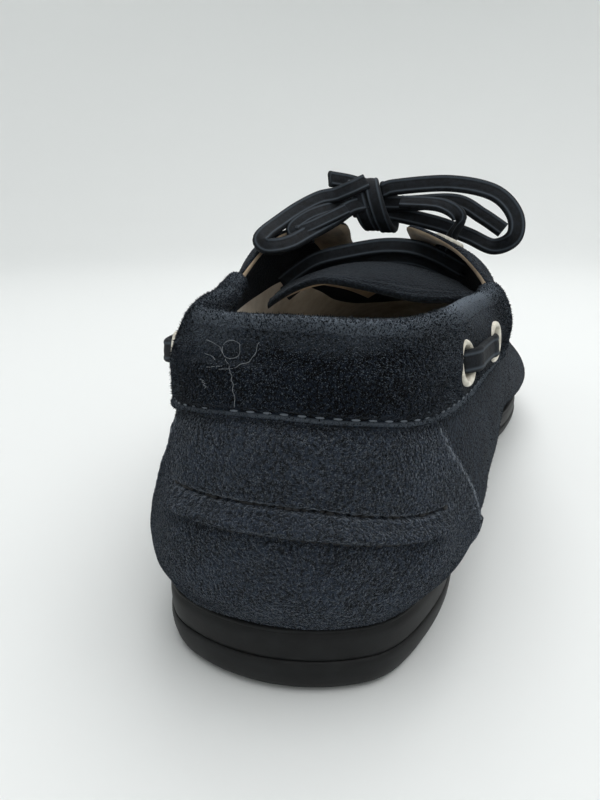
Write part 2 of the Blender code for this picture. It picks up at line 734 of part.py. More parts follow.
rim = EYELET_OUTER / 2
bore = EYELET_BORE / 2
barrel = bore + BARREL_WALL
hole = barrel + GAP
places = {}
for side, sign in (("inner", 1), ("outer", -1)):
    for name, inner_station, outer_station, level in EYELETS:
        station = inner_station if sign > 0 else outer_station
        banded = station < BAND_END
        face = GAP + BAND_THICK if banded else 0.0
        depth = -WALL
        profile = (
            (bore, depth),
            (barrel, depth),
            (barrel, face + EYELET_SEAT),
            (rim, face + EYELET_SEAT),
            (rim - 0.0006, face + EYELET_SEAT + EYELET_RIM),
            (bore, face + EYELET_SEAT + EYELET_RIM * 0.8),
        )
        place = place_on_skin(sign * station, level)
        places[side, name] = place
        points, faces = turned_on_skin(place, profile, EYELET_STEPS)
        add_mesh("eyelet_%s_%s" % (side, name), points, faces, cream, home)
        points, faces = bore_through(place, hole, -HOLE_REACH, HOLE_REACH, EYELET_STEPS)
        plug = add_mesh("hole_%s_%s" % (side, name), points, faces, cream, cutters)
        cut(upper, plug)
        if banded:
            cut(band, plug)

for side, sign in (("inner", 1), ("outer", -1)):
    for run, first, last, lift in (("rear", "rear", "second", 0.0020), ("front", "third", "fourth", 0.0002)):
        start = places[side, first]
        end = places[side, last]
        path = [beside(start, sign * x, 0.0, stand + lift) for x, stand in SIDE_LACE_ROWS]
        path += [beside(end, -sign * x, 0.0, stand + lift) for x, stand in SIDE_LACE_ROWS[::-1]]
        points, faces = flat_lace(smooth_path(path, 18), start[5] + end[5], LACE_WIDTH, LACE_THICK)
        add_mesh("side_lace_%s_%s" % (side, run), points, faces, lace, home)


def from_heel(rows):
    """Hand-placed points from their shares of the shoe's sizes, y from the back of the sole."""
    return np.array(rows) * (BALL_WIDTH, LENGTH, COLLAR_HEIGHT) - (0.0, CENTRE_Y, 0.0)


points, faces = flat_lace(smooth_path(from_heel(LACE_BAR_ROWS), 14), (0.0, 0.25, 1.0), LACE_WIDTH, LACE_THICK)
add_mesh("lace_bar_rear", points, faces, lace, home)

left = places["outer", "lower"]
right = places["inner", "lower"]
rise = ((0.0, -0.0032), (0.0, -0.0008), (0.0008, 0.0024), (0.0034, 0.0036))
path = [beside(left, 0.0, y, stand) for y, stand in rise]
back = [beside(right, 0.0, y, stand) for y, stand in rise[::-1]]
middle = (path[-1] + back[0]) / 2 + np.array([0.0, 0.0, 0.0008])
points, faces = flat_lace(smooth_path(path + [middle] + back, 22), left[4] - right[4], LACE_WIDTH, LACE_THICK)
add_mesh("lace_bar_front", points, faces, lace, home)

for side, sign in (("inner", 1), ("outer", -1)):
    place = places[side, "upper"]
    path = [beside(place, 0.0, 0.0, stand) for stand in (-0.005, -0.001, 0.003)]
    path += list(from_heel(STRAND_ROWS[side]))
    points, faces = flat_lace(smooth_path(path, 16), place[4], LACE_WIDTH * 0.9, LACE_THICK)
    add_mesh("lace_strand_%s" % side, points, faces, lace, home)

turns = np.linspace(0, KNOT_TURNS * 2 * math.pi, 26)
wind = np.stack([
    (2 * turns / turns[-1] - 1) * KNOT_REACH,
    KNOT_RADIUS * np.cos(turns + 2.2),
    KNOT_RADIUS * np.sin(turns + 2.2),
], axis=1) + from_heel([KNOT_CENTRE])[0]
cord("lace_knot", wind, KNOT_CORD, lace, home)
cord("lace_end_left", smooth_path(from_heel(END_LEFT_ROWS), 14), CORD_RADIUS, lace, home)
cord("lace_end_right", smooth_path(from_heel(END_RIGHT_ROWS), 14), CORD_RADIUS, lace, home)
cord("bow_loop_left", smooth_path(from_heel(LOOP_LEFT_ROWS), 26), CORD_RADIUS, lace, home)
cord("bow_loop_right", smooth_path(from_heel(LOOP_RIGHT_ROWS), 36), CORD_RADIUS, lace, home)
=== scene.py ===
"""Left suede boat shoe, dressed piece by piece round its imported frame.

Metres, +Y to the toe, +X to the inner side.
"""

import math

import bmesh
import bpy
import numpy as np
from mathutils import Matrix, Vector


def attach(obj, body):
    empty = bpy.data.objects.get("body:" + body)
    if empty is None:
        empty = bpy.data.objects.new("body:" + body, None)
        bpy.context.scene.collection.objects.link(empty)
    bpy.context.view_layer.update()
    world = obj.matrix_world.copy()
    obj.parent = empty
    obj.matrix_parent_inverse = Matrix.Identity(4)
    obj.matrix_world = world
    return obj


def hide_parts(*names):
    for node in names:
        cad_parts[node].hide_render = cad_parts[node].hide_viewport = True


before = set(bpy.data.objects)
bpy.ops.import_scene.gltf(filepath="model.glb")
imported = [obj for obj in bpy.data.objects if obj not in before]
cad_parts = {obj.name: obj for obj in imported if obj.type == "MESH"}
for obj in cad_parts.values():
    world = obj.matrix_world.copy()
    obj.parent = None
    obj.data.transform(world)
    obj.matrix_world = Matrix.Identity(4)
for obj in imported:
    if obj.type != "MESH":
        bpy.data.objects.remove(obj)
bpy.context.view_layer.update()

# Camera: held close behind the heel and a little above the collar, on the inner side, looking along the shoe.
# The sweep is a pale paper bowl that runs up all round, so the shoe has the same ground from every side.
# Light is a wide panel overhead, a smaller one beyond the toe, a weak one behind the camera and a pale sky.
CAMERA_PLACE = (0.0392, -0.2563, 0.0975)
CAMERA_TURN = 15.97
CAMERA_TILT = 73.37
CAMERA_ROLL = -0.2
CAMERA_LENS = 30.72
camera = bpy.data.objects.new("camera", bpy.data.cameras.new("camera"))
camera.data.lens = CAMERA_LENS
camera.data.clip_start = 0.01
aim = Matrix.Rotation(math.radians(CAMERA_TURN), 4, "Z")
aim = aim @ Matrix.Rotation(math.radians(CAMERA_TILT), 4, "X")
aim = aim @ Matrix.Rotation(math.radians(CAMERA_ROLL), 4, "Z")
camera.matrix_world = Matrix.Translation(CAMERA_PLACE) @ aim
bpy.context.scene.collection.objects.link(camera)
bpy.context.scene.camera = camera
bpy.context.scene.view_settings.view_transform = "Standard"


def linear(code):
    """Linear colour from an sRGB hex value."""
    parts = [int(code[i:i + 2], 16) / 255 for i in (0, 2, 4)]
    return tuple(c / 12.92 if c <= 0.04045 else ((c + 0.055) / 1.055) ** 2.4 for c in parts) + (1.0,)


def feed(tree, node, sockets):
    """Sets a node's sockets to values, or links them from other sockets."""
    for key, value in sockets.items():
        if isinstance(value, bpy.types.NodeSocket):
            tree.links.new(value, node.inputs[key])
        else:
            node.inputs[key].default_value = value


def new_material(name):
    """Empty material with its tree, shader and Object coordinates."""
    made = bpy.data.materials.new(name)
    made.use_nodes = True
    tree = made.node_tree
    shader = tree.nodes["Principled BSDF"]
    place = tree.nodes.new("ShaderNodeTexCoord").outputs["Object"]
    return made, tree, shader, place


def make_object(name, work, *surfaces):
    """Object from a bmesh, smooth shaded, at the origin."""
    mesh = bpy.data.meshes.new(name)
    work.to_mesh(mesh)
    work.free()
    for surface in surfaces:
        mesh.materials.append(surface)
    mesh.shade_smooth()
    obj = bpy.data.objects.new(name, mesh)
    bpy.context.scene.collection.objects.link(obj)
    return obj


SWEEP_FLAT = 0.9
SWEEP_RADIUS = 0.7
SWEEP_TOP = 1.3
SWEEP_STEPS = 8
paper, tree, shader, place = new_material("pale_paper_sweep")
# Uncoated card: an even pale grey with no gloss.
feed(tree, shader, {"Base Color": linear("e9ebea"), "Roughness": 0.9, "Specular IOR Level": 0.1})
work = bmesh.new()
profile = [work.verts.new((x, 0.0, 0.0)) for x in (0.0, SWEEP_FLAT)]
for step in range(1, SWEEP_STEPS + 1):
    angle = math.radians(90 * step / SWEEP_STEPS)
    reach = SWEEP_FLAT + SWEEP_RADIUS * math.sin(angle)
    profile.append(work.verts.new((reach, 0.0, SWEEP_RADIUS * (1 - math.cos(angle)))))
profile.append(work.verts.new((SWEEP_FLAT + SWEEP_RADIUS, 0.0, SWEEP_TOP)))
edges = [work.edges.new(pair) for pair in zip(profile, profile[1:])]
bmesh.ops.spin(
    work, geom=profile + edges, cent=(0, 0, 0), axis=(0, 0, 1), angle=2 * math.pi, steps=64, use_merge=True
)
bmesh.ops.remove_doubles(work, verts=work.verts[:], dist=1e-5)
bmesh.ops.recalc_face_normals(work, faces=work.faces[:])
make_object("paper_sweep", work, paper)

world = bpy.data.worlds.new("soft_room")
world.use_nodes = True
sky = world.node_tree.nodes["Background"]
feed(world.node_tree, sky, {"Color": linear("f2f6f8"), "Strength": 0.30})
bpy.context.scene.world = world


def panel(name, place, target, size, power):
    """Soft round light at a place, aimed at a target."""
    lamp = bpy.data.lights.new(name, "AREA")
    lamp.shape = "DISK"
    lamp.size = size
    lamp.energy = power
    obj = bpy.data.objects.new(name, lamp)
    way = Vector(target) - Vector(place)
    obj.matrix_world = Matrix.Translation(place) @ way.to_track_quat("-Z", "Y").to_matrix().to_4x4()
    bpy.context.scene.collection.objects.link(obj)


panel("far_panel", (-0.10, 0.75, 1.15), (0.0, 0.0, 0.0), 1.0, 4.0)
panel("overhead_panel", (0.25, -0.05, 1.20), (0.0, 0.0, 0.0), 1.7, 13.0)
panel("near_panel", (0.35, -0.75, 0.85), (0.0, 0.0, 0.04), 0.6, 1.2)

# Outsole: lower band of the black rubber unit sole, rounded underneath, with flats at heel and forefoot.
# Midsole: upper band of the same moulding, parted from the lower by a groove, with a thin lip at the suede.
LENGTH = 0.295
BALL_WIDTH = 0.107
COLLAR_HEIGHT = 0.0775
REAR_OVERHANG = 0.0038
CENTRE_Y = (LENGTH - REAR_OVERHANG) / 2
GAP = 0.0003
# Shares of length, of ball width for the inner and outer half, and of collar height for floor, joint and top.
SOLE_ROWS = (
    # y, inner, outer, floor, joint, top
    (0.000, 0.000, 0.000, 0.000, 0.108, 0.200),
    (0.011, 0.142, 0.142, 0.000, 0.108, 0.200),
    (0.040, 0.238, 0.240, 0.000, 0.107, 0.199),
    (0.112, 0.300, 0.306, 0.000, 0.104, 0.196),
    (0.190, 0.312, 0.320, 0.000, 0.100, 0.191),
    (0.278, 0.323, 0.338, 0.000, 0.095, 0.184),
    (0.390, 0.325, 0.364, 0.034, 0.084, 0.170),
    (0.498, 0.368, 0.415, 0.000, 0.075, 0.155),
    (0.608, 0.446, 0.466, 0.000, 0.069, 0.146),
    (0.705, 0.474, 0.480, 0.000, 0.069, 0.145),
    (0.812, 0.440, 0.438, 0.013, 0.080, 0.154),
    (0.908, 0.352, 0.318, 0.052, 0.112, 0.180),
    (0.972, 0.216, 0.150, 0.094, 0.146, 0.208),
    (1.000, 0.042, -0.042, 0.118, 0.166, 0.226),
)
# Columns of the heights.
FLOOR, JOINT, TOP = 3, 4, 5
STATIONS = len(SOLE_ROWS) - 1


def between(p0, p1, p2, p3, t):
    """Catmull-Rom curve from p1 to p2."""
    pull = 2 * p0 - 5 * p1 + 4 * p2 - p3
    bend = 3 * p1 - p0 - 3 * p2 + p3
    return 0.5 * (2 * p1 + (p2 - p0) * t + pull * t**2 + bend * t**3)


def spline(rows, at):
    """Curve through rows at parameter at, rows given with one extra at each end."""
    at = np.asarray(at, float)
    low = np.clip(np.floor(at).astype(int), 0, len(rows) - 4)
    return between(rows[low], rows[low + 1], rows[low + 2], rows[low + 3], (at - low)[..., None])


def sole_height(share, column):
    """Floor, joint or top of the sole over y, eased between rows so that flats stay flat."""
    rows = np.array(SOLE_ROWS)
    share = np.clip(share, 0.0, 1.0)
    low = np.clip(np.searchsorted(rows[:, 0], share, side="right") - 1, 0, STATIONS - 1)
    t = (share - rows[low, 0]) / (rows[low + 1, 0] - rows[low, 0])
    t = t * t * (3 - 2 * t)
    return COLLAR_HEIGHT * (rows[low, column] + (rows[low + 1, column] - rows[low, column]) * t)


def ring(table, station):
    """Point of a table's ring at a station: 0 at the heel, above 0 on the inner side, below on the outer."""
    rows = np.array(table)
    y = rows[:, 0] * LENGTH - CENTRE_Y
    if table is SOLE_ROWS:
        inner_z = outer_z = sole_height(rows[:, 0], TOP)
    else:
        inner_z = rows[:, 3] * COLLAR_HEIGHT
        outer_z = inner_z + (rows[:, 4] * COLLAR_HEIGHT if rows.shape[1] > 4 else 0.0)
    inner = np.column_stack([rows[:, 1] * BALL_WIDTH, y, inner_z])
    outer = np.column_stack([-rows[:, 2] * BALL_WIDTH, y, outer_z])
    whole = np.concatenate([inner, outer[-2:0:-1]])
    padded = np.concatenate([whole[-1:], whole, whole[:2]])
    return spline(padded, np.mod(station, len(whole)))


def unit(ways):
    """Directions made 1 long."""
    return ways / np.linalg.norm(ways, axis=-1, keepdims=True)


def sole_edge(station, inset):
    """Outline of the sole, moved inwards by inset."""
    here = ring(SOLE_ROWS, station)[..., :2]
    along = unit(ring(SOLE_ROWS, station + 0.02)[..., :2] - ring(SOLE_ROWS, station - 0.02)[..., :2])
    return here + np.stack([-along[..., 1], along[..., 0]], axis=-1) * inset


def run_along(points):
    """Distance run along points, from 0 at the first."""
    return np.concatenate([[0], np.cumsum(np.linalg.norm(np.diff(points, axis=0), axis=1))])


def even_stations(first, last, count):
    """Stations from first to last at even distances along the sole's outline."""
    fine = np.linspace(first, last, 4000)
    run = run_along(sole_edge(fine, 0.0))
    return np.interp(np.linspace(0, run[-1], count), run, fine)


def whole_round(count):
    """Even stations once round the shoe: along its inner side to the toe, and back along its outer side."""
    half = count // 2 + 1
    return np.concatenate([even_stations(0, STATIONS, half), even_stations(-STATIONS, 0, half)[1:]])


def loft(rows, shut=False):
    """Sheet through rows of points. Rows that end on their first point close round, shut closes the ends."""
    rows = np.asarray(rows)
    count, width = rows.shape[:2]
    work = bmesh.new()
    work.loops.layers.uv.new("UVMap")
    bmesh.ops.create_grid(work, x_segments=width - 1, y_segments=count - 1, size=0.5, calc_uvs=True)
    for vert in work.verts:
        row = round((vert.co.y + 0.5) * (count - 1))
        column = round((vert.co.x + 0.5) * (width - 1))
        vert.co = rows[row, column]
    bmesh.ops.remove_doubles(work, verts=work.verts[:], dist=2e-6)
    if shut:
        bmesh.ops.holes_fill(work, edges=[edge for edge in work.edges if edge.is_boundary])
        bmesh.ops.recalc_face_normals(work, faces=work.faces[:])
    return work


def closed(rows):
    """Rows with their first point repeated at the end."""
    rows = np.asarray(rows)
    return np.concatenate([rows, rows[:, :1]], axis=1)


def put(obj, slot, *nodes):
    """The piece rides on the shoe and stands for its solids, which it hides; its slot is not used."""
    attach(obj, "root")
    if nodes:
        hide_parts(*nodes)


def add(tree, kind, sockets, **settings):
    """A node with its settings and sockets."""
    made = tree.nodes.new(kind)
    for key, value in settings.items():
        setattr(made, key, value)
    feed(tree, made, sockets)
    return made


def noise(tree, place, scale, detail=2.0, roughness=0.5):
    """Value of a noise over a place."""
    sockets = {"Vector": place, "Scale": scale, "Detail": detail, "Roughness": roughness}
    return add(tree, "ShaderNodeTexNoise", sockets).outputs["Fac"]


def ramp(tree, value, low, dark, high, light):
    """Colour that goes from dark to light while a value goes from low to high."""
    made = add(tree, "ShaderNodeValToRGB", {"Fac": value})
    first, last = made.color_ramp.elements
    first.position = low
    first.color = linear(dark)
    last.position = high
    last.color = linear(light)
    return made.outputs["Color"]


def relief(tree, height, strength, distance):
    """Normal of a bumpy face."""
    sockets = {"Height": height, "Strength": strength, "Distance": distance}
    return add(tree, "ShaderNodeBump", sockets).outputs["Normal"]


# Moulded rubber: near black, satin, with fine mould grain and a little dust and scuffs in it.
rubber, tree, shader, place = new_material("moulded_black_rubber")
SCUFF_SIZE = 0.006
GRAIN_SIZE = 0.0004
feed(tree, shader, {
    "Base Color": ramp(tree, noise(tree, place, 1 / SCUFF_SIZE, 8.0, 0.7), 0.45, "0a0b0c", 0.80, "181a1b"),
    "Normal": relief(tree, noise(tree, place, 1 / GRAIN_SIZE), 0.25, 0.0001),
    "Roughness": 0.55,
    "Specular IOR Level": 0.25,
})

sole_stations = whole_round(500)


def sole_band(profile, low_column, high_column):
    """Band of the sole. Profile rows are share of height, lift and outset, from below up."""
    rows = []
    for share, lift, outset in profile:
        plan = sole_edge(sole_stations, -outset)
        y_share = (plan[:, 1] + CENTRE_Y) / LENGTH
        low = sole_height(y_share, low_column)
        high = sole_height(y_share, high_column)
        rows.append(np.column_stack([plan, low + (high - low) * share + lift]))
    return loft(rows, shut=True)


work = sole_band((
    (0.00, 0.0, -0.0046), (0.02, 0.0, -0.0032), (0.08, 0.0, -0.0018), (0.18, 0.0, -0.0009),
    (0.35, 0.0, -0.0002), (0.60, 0.0, 0.0004), (0.80, 0.0, 0.0006), (0.90, 0.0, 0.0006),
    (0.96, 0.0, 0.0004), (1.00, -0.0001, 0.0001),
), FLOOR, JOINT)
outsole = make_object("outsole_band", work, rubber)
GROOVE_WIDTH = 0.0018
GROOVE_DEPTH = 0.0014
GROOVES = (
    # y share of length, bow, half length
    (0.060, 0.004, 0.024), (0.105, 0.004, 0.025), (0.150, 0.004, 0.026), (0.195, 0.004, 0.026),
    (0.240, 0.004, 0.026), (0.500, -0.006, 0.037), (0.545, -0.006, 0.039), (0.590, -0.006, 0.040),
    (0.635, -0.006, 0.040), (0.680, -0.006, 0.040),
)
cutter = bmesh.new()
for share, bow, reach in GROOVES:
    size = Matrix.Diagonal((2 * reach, GROOVE_WIDTH, 2 * GROOVE_DEPTH, 1.0))
    made = bmesh.ops.create_cube(cutter, size=1.0, matrix=size)
    edges = {edge for vert in made["verts"] for edge in vert.link_edges}
    long_edges = [edge for edge in edges if edge.calc_length() > reach]
    bmesh.ops.subdivide_edges(cutter, edges=long_edges, cuts=15, use_grid_fill=True)
    cutter.verts.ensure_lookup_table()
    for vert in cutter.verts:
        if not vert.tag:
            vert.co.y += share * LENGTH - CENTRE_Y + bow * (1 - (vert.co.x / reach) ** 2)
            vert.tag = True
tread_cutter = make_object("tread_cutter", cutter, rubber)
groove = outsole.modifiers.new("tread", "BOOLEAN")
groove.operation = "DIFFERENCE"
groove.solver = "EXACT"
groove.object = tread_cutter
bpy.context.view_layer.update()
grooved = bpy.data.meshes.new_from_object(outsole.evaluated_get(bpy.context.evaluated_depsgraph_get()))
outsole.modifiers.clear()
outsole.data = grooved
bpy.data.objects.remove(tread_cutter, do_unlink=True)
put(outsole, "outsole_rubber", "outsole")

work = sole_band((
    (0.00, 0.0, 0.0000), (0.05, 0.0, 0.0002), (0.12, 0.0, 0.0003), (0.30, 0.0, 0.0004),
    (0.60, 0.0, 0.0005), (0.78, 0.0, 0.0003), (0.84, 0.0, -0.0002), (0.88, 0.0, -0.0002),
    (0.93, 0.0, 0.0003), (0.98, 0.0, 0.0001), (1.00, 0.0, -0.0006),
), JOINT, TOP)
put(make_object("midsole_band", work, rubber), "midsole_rubber", "midsole")

# Upper: suede calf shell, turned under at the sole, with the apron sewn on in a raised seam.
# Inside it shows a strip of tan lining at the top, a dark navy suede band under that, and pale lining deeper
# down, painted paler than its own tan: painted light for the light that reaches deep inside the shoe.
WALL = 0.0020
FEATHER_INSET = 0.0014
BULGE_ROWS = (
    # y, inner, outer, z
    (-0.0060, 0.000, 0.000, 0.340),
    (0.007, 0.168, 0.162, 0.340),
    (0.049, 0.294, 0.280, 0.342),
    (0.122, 0.362, 0.350, 0.355),
    (0.192, 0.384, 0.370, 0.385),
    (0.278, 0.400, 0.400, 0.410),
    (0.385, 0.418, 0.430, 0.410),
    (0.495, 0.450, 0.470, 0.370),
    (0.603, 0.490, 0.498, 0.340),
    (0.698, 0.500, 0.500, 0.325),
    (0.803, 0.456, 0.452, 0.330),
    (0.897, 0.372, 0.330, 0.350),
    (0.960, 0.232, 0.160, 0.370),
    (0.987, 0.045, -0.045, 0.380),
)
SEAM_ROWS = (
    # y, inner, outer, z, extra z of the outer side
    (0.012, 0.010, -0.010, 0.785, 0.000),
    (0.020, 0.148, 0.130, 0.775, 0.000),
    (0.052, 0.252, 0.216, 0.750, 0.000),
    (0.120, 0.310, 0.274, 0.735, 0.000),
    (0.190, 0.346, 0.314, 0.742, 0.000),
    (0.283, 0.388, 0.380, 0.740, 0.000),
    (0.388, 0.398, 0.404, 0.720, 0.000),
    (0.485, 0.375, 0.392, 0.745, 0.010),
    (0.570, 0.335, 0.342, 0.690, 0.000),
    (0.655, 0.322, 0.325, 0.625, 0.000),
    (0.752, 0.298, 0.285, 0.575, 0.000),
    (0.838, 0.242, 0.212, 0.550, 0.000),
    (0.895, 0.150, 0.098, 0.545, 0.000),
    (0.918, 0.040, -0.040, 0.545, 0.000),
)
CROWN_ROWS = (
    # y, inner, outer, z, extra z of the outer side
    (0.018, 0.020, -0.020, 0.880, 0.000),
    (0.026, 0.146, 0.114, 0.875, 0.000),
    (0.056, 0.244, 0.202, 0.858, 0.004),
    (0.120, 0.294, 0.266, 0.848, 0.004),
    (0.190, 0.336, 0.306, 0.848, 0.004),
    (0.288, 0.384, 0.376, 0.860, 0.010),
    (0.368, 0.340, 0.368, 0.975, 0.050),
    (0.444, 0.266, 0.290, 1.005, 0.060),
    (0.510, 0.236, 0.246, 0.925, 0.035),
    (0.566, 0.216, 0.218, 0.840, 0.010),
    (0.628, 0.180, 0.178, 0.775, 0.000),
    (0.686, 0.128, 0.120, 0.735, 0.000),
    (0.722, 0.068, 0.056, 0.715, 0.000),
    (0.735, 0.012, -0.012, 0.710, 0.000),
)
TOP_ROWS = (
    # y, inner, outer, z, extra z of the outer side
    (0.028, 0.034, -0.034, 0.950, 0.000),
    (0.035, 0.142, 0.088, 0.944, 0.004),
    (0.060, 0.228, 0.176, 0.932, 0.010),
    (0.120, 0.274, 0.242, 0.920, 0.012),
    (0.190, 0.312, 0.282, 0.918, 0.012),
    (0.280, 0.362, 0.342, 0.935, 0.012),
    (0.345, 0.262, 0.272, 1.065, 0.045),
    (0.405, 0.106, 0.116, 1.140, 0.010),
    (0.455, 0.104, 0.106, 1.050, 0.008),
    (0.500, 0.100, 0.100, 0.985, 0.000),
    (0.530, 0.088, 0.088, 0.955, 0.000),
    (0.547, 0.064, 0.064, 0.938, 0.000),
    (0.555, 0.032, 0.032, 0.930, 0.000),
    (0.558, 0.000, 0.000, 0.926, 0.000),
)
EYELETS = (
    # name, inner station, outer station, level
    ("rear", 3.04, 3.46, 2.50),
    ("second", 4.24, 4.42, 2.46),
    ("third", 5.36, 5.36, 2.50),
    ("fourth", 6.20, 6.20, 2.45),
    ("upper", 6.85, 6.85, 3.40),
    ("lower", 8.40, 8.40, 3.35),
)
EYELET_OUTER = 0.0102
EYELET_BORE = 0.0076
BAND_END = 5.0


def upper_point(station, level):
    """Outer face of the upper: level 0 at the sole, 1 widest, 2 the seam, 3 the crown, 4 the edge."""
    station, level = np.broadcast_arrays(np.asarray(station, float), np.asarray(level, float))
    plan = sole_edge(station, FEATHER_INSET)
    seat = sole_height((plan[..., 1] + CENTRE_Y) / LENGTH, TOP) + GAP
    feather = np.concatenate([plan, seat[..., None]], axis=-1)
    rings = [feather] + [ring(table, station) for table in (BULGE_ROWS, SEAM_ROWS, CROWN_ROWS, TOP_ROWS)]
    rows = np.stack([2 * rings[0] - rings[1]] + rings + [2 * rings[4] - rings[3]])
    low = np.clip(np.floor(level).astype(int), 0, 3)
    near = [np.take_along_axis(rows, (low + k)[None, ..., None], axis=0)[0] for k in range(4)]
    return between(*near, (level - low)[..., None])


def upper_normal(station, level):
    """Outward direction of the upper's outer face."""
    step = 0.03
    around = upper_point(station + step, level) - upper_point(station - step, level)
    up = upper_point(station, np.clip(level + step, 0, 4)) - upper_point(station, np.clip(level - step, 0, 4))
    return unit(np.cross(around, up))


def skin(station, level, stand):
    """Point at a stand outside the upper's outer face."""
    station, level, stand = np.broadcast_arrays(*(np.asarray(v, float) for v in (station, level, stand)))
    return upper_point(station, level) + upper_normal(station, level) * stand[..., None]


def ripple(points, size, seed):
    """Smooth waves of about a size over points, from -1 to 1."""
    pick = np.random.default_rng(seed)
    total = np.zeros(points.shape[:-1])
    for _ in range(10):
        way = pick.normal(size=3)
        way /= np.linalg.norm(way)
        total += np.sin(points @ way * 2 * math.pi / (size * pick.uniform(0.7, 1.6)) + pick.uniform(0, 6.28))
    return total / 10**0.5 / 1.6


def hump(value, middle, width):
    """1 at the middle, falling off over a width to each side."""
    return np.exp(-(((value - middle) / width) ** 2))


def mix(tree, share, one, other):
    """Colour between two others, by a share."""
    sockets = {"Factor": share, "A": one, "B": other}
    return add(tree, "ShaderNodeMix", sockets, data_type="RGBA").outputs["Result"]


# Pale tone of the painted highlight: suede faces that look up are mixed towards it.
TOP_LIGHT_TONE = "6a737d"
CLOUD_SIZE = 0.011
CLOUD_SHARE = 0.22
NAP_SIZE = 0.0006


def suede(name, dark, light, sheen, top_light=0.0):
    """Suede calf: matte and cloudy, its grainy nap aglow at grazing angles, its upward faces made paler by a
    painted highlight.
    """
    made, tree, shader, place = new_material(name)
    cloud = noise(tree, place, 1 / CLOUD_SIZE, 4.0)
    grain = noise(tree, place, 1 / NAP_SIZE, 2.0, 0.6)
    cloudy = add(tree, "ShaderNodeMath", {0: cloud, 1: CLOUD_SHARE}, operation="MULTIPLY")
    grainy = add(tree, "ShaderNodeMath", {0: grain, 1: 1 - CLOUD_SHARE}, operation="MULTIPLY")
    both = add(tree, "ShaderNodeMath", {0: cloudy.outputs[0], 1: grainy.outputs[0]}, operation="ADD")
    normal = tree.nodes.new("ShaderNodeNewGeometry").outputs["Normal"]
    # Painted highlight: faces that look up are mixed towards a pale tone, standing in for light from above.
    upward = add(tree, "ShaderNodeMapRange", {
        "Value": add(tree, "ShaderNodeSeparateXYZ", {0: normal}).outputs["Z"],
        "From Min": 0.4,
        "From Max": 1.0,
        "To Max": top_light,
    })
    tone = ramp(tree, both.outputs[0], 0.45, dark, 0.57, light)
    feed(tree, shader, {
        "Base Color": mix(tree, upward.outputs[0], tone, linear(TOP_LIGHT_TONE)),
        "Normal": relief(tree, grain, 1.0, NAP_SIZE * 1.5),
        "Roughness": 0.95,
        "Specular IOR Level": 0.10,
        "Sheen Weight": sheen,
        "Sheen Roughness": 0.45,
        "Sheen Tint": linear("b9c2cc"),
    })
    return made


def square_to(ways, axis):
    """Directions turned square to an axis, 1 long."""
    return unit(ways - axis * (ways * axis).sum(axis=-1, keepdims=True))


def read(items, key, width, kind):
    """Array of one attribute of a mesh's items."""
    values = np.empty(len(items) * width, kind)
    items.foreach_get(key, values)
    return values.reshape(-1, width)


FIBRE_LENGTH = 0.0006
FIBRE_WIDTH = 0.00027
FIBRE_LEAN = 0.0004
FIBRE_ROOT = 0.0001


def nap(name, piece, slot, count, seed, size, cover):
    """Loose fibres of a suede piece: short slanting blades on its outer faces, as thick as cover says."""
    mesh = piece.data
    mesh.calc_loop_triangles()
    corners = read(mesh.vertices, "co", 3, float)
    triangles = corners[read(mesh.loop_triangles, "vertices", 3, int)]
    surfaces = read(mesh.loop_triangles, "material_index", 1, int)[:, 0]
    normals = np.cross(triangles[:, 1] - triangles[:, 0], triangles[:, 2] - triangles[:, 0])
    areas = np.linalg.norm(normals, axis=1) + 1e-15
    normals /= areas[:, None]
    wanted = areas * (surfaces == 0) * cover(triangles.mean(axis=1), normals)
    pick = np.random.default_rng(seed)
    which = pick.choice(len(triangles), size=count, p=wanted / wanted.sum())
    share = np.sqrt(pick.random((count, 1)))
    other = pick.random((count, 1))
    a, b, c = triangles[which, 0], triangles[which, 1], triangles[which, 2]
    root = a * (1 - share) + b * share * (1 - other) + c * share * other
    out = normals[which]
    stroke = np.stack([ripple(root, 0.018, seed + k) for k in range(3)], axis=1)
    way = square_to(pick.normal(size=(count, 3)) + stroke * 0.9, out)
    long = FIBRE_LENGTH * size * (0.5 + 1.4 * pick.random((count, 1)) ** 8)
    tip = root + out * long * pick.uniform(0.25, 0.8, (count, 1))
    tip += way * FIBRE_LEAN * size * pick.uniform(0.4, 1.0, (count, 1))
    side = np.cross(out, way) + out * pick.normal(scale=0.35, size=(count, 1))
    side *= FIBRE_WIDTH * pick.uniform(0.6, 1.2, (count, 1)) / 2
    foot = root - out * FIBRE_ROOT
    points = np.stack([foot - side, foot + side, tip], axis=1)
    away = (np.cross(points[:, 1] - points[:, 0], points[:, 2] - points[:, 0]) * out).sum(axis=1) < 0
    points[away] = points[away][:, ::-1]
    made = bpy.data.meshes.new(name)
    made.from_pydata(points.reshape(-1, 3), [], np.arange(count * 3).reshape(-1, 3))
    made.materials.append(mesh.materials[0])
    obj = bpy.data.objects.new(name, made)
    bpy.context.scene.collection.objects.link(obj)
    put(obj, slot)


navy_suede = suede("navy_suede_calf", "05070a", "222933", 0.14)


def lining_leather(name, dark, light):
    """Lining leather: thin pigskin with a dry, slightly hairy face."""
    made, tree, shader, place = new_material(name)
    feed(tree, shader, {
        "Base Color": ramp(tree, noise(tree, place, 110.0, 6.0, 0.65), 0.35, dark, 0.65, light),
        "Normal": relief(tree, noise(tree, place, 1400.0, 3.0), 0.6, 0.0003),
        "Roughness": 0.85,
        "Sheen Weight": 0.2,
    })
    return made


lining = lining_leather("tan_lining_leather", "8f7c66", "c2ad92")
# Painted light: this lining's colour is made paler than the leather's own so that the deep inside of the shoe
# looks lit.
deep_lining_painted_light = lining_leather("vamp_lining_painted_light", "cfc6b8", "ece5d9")

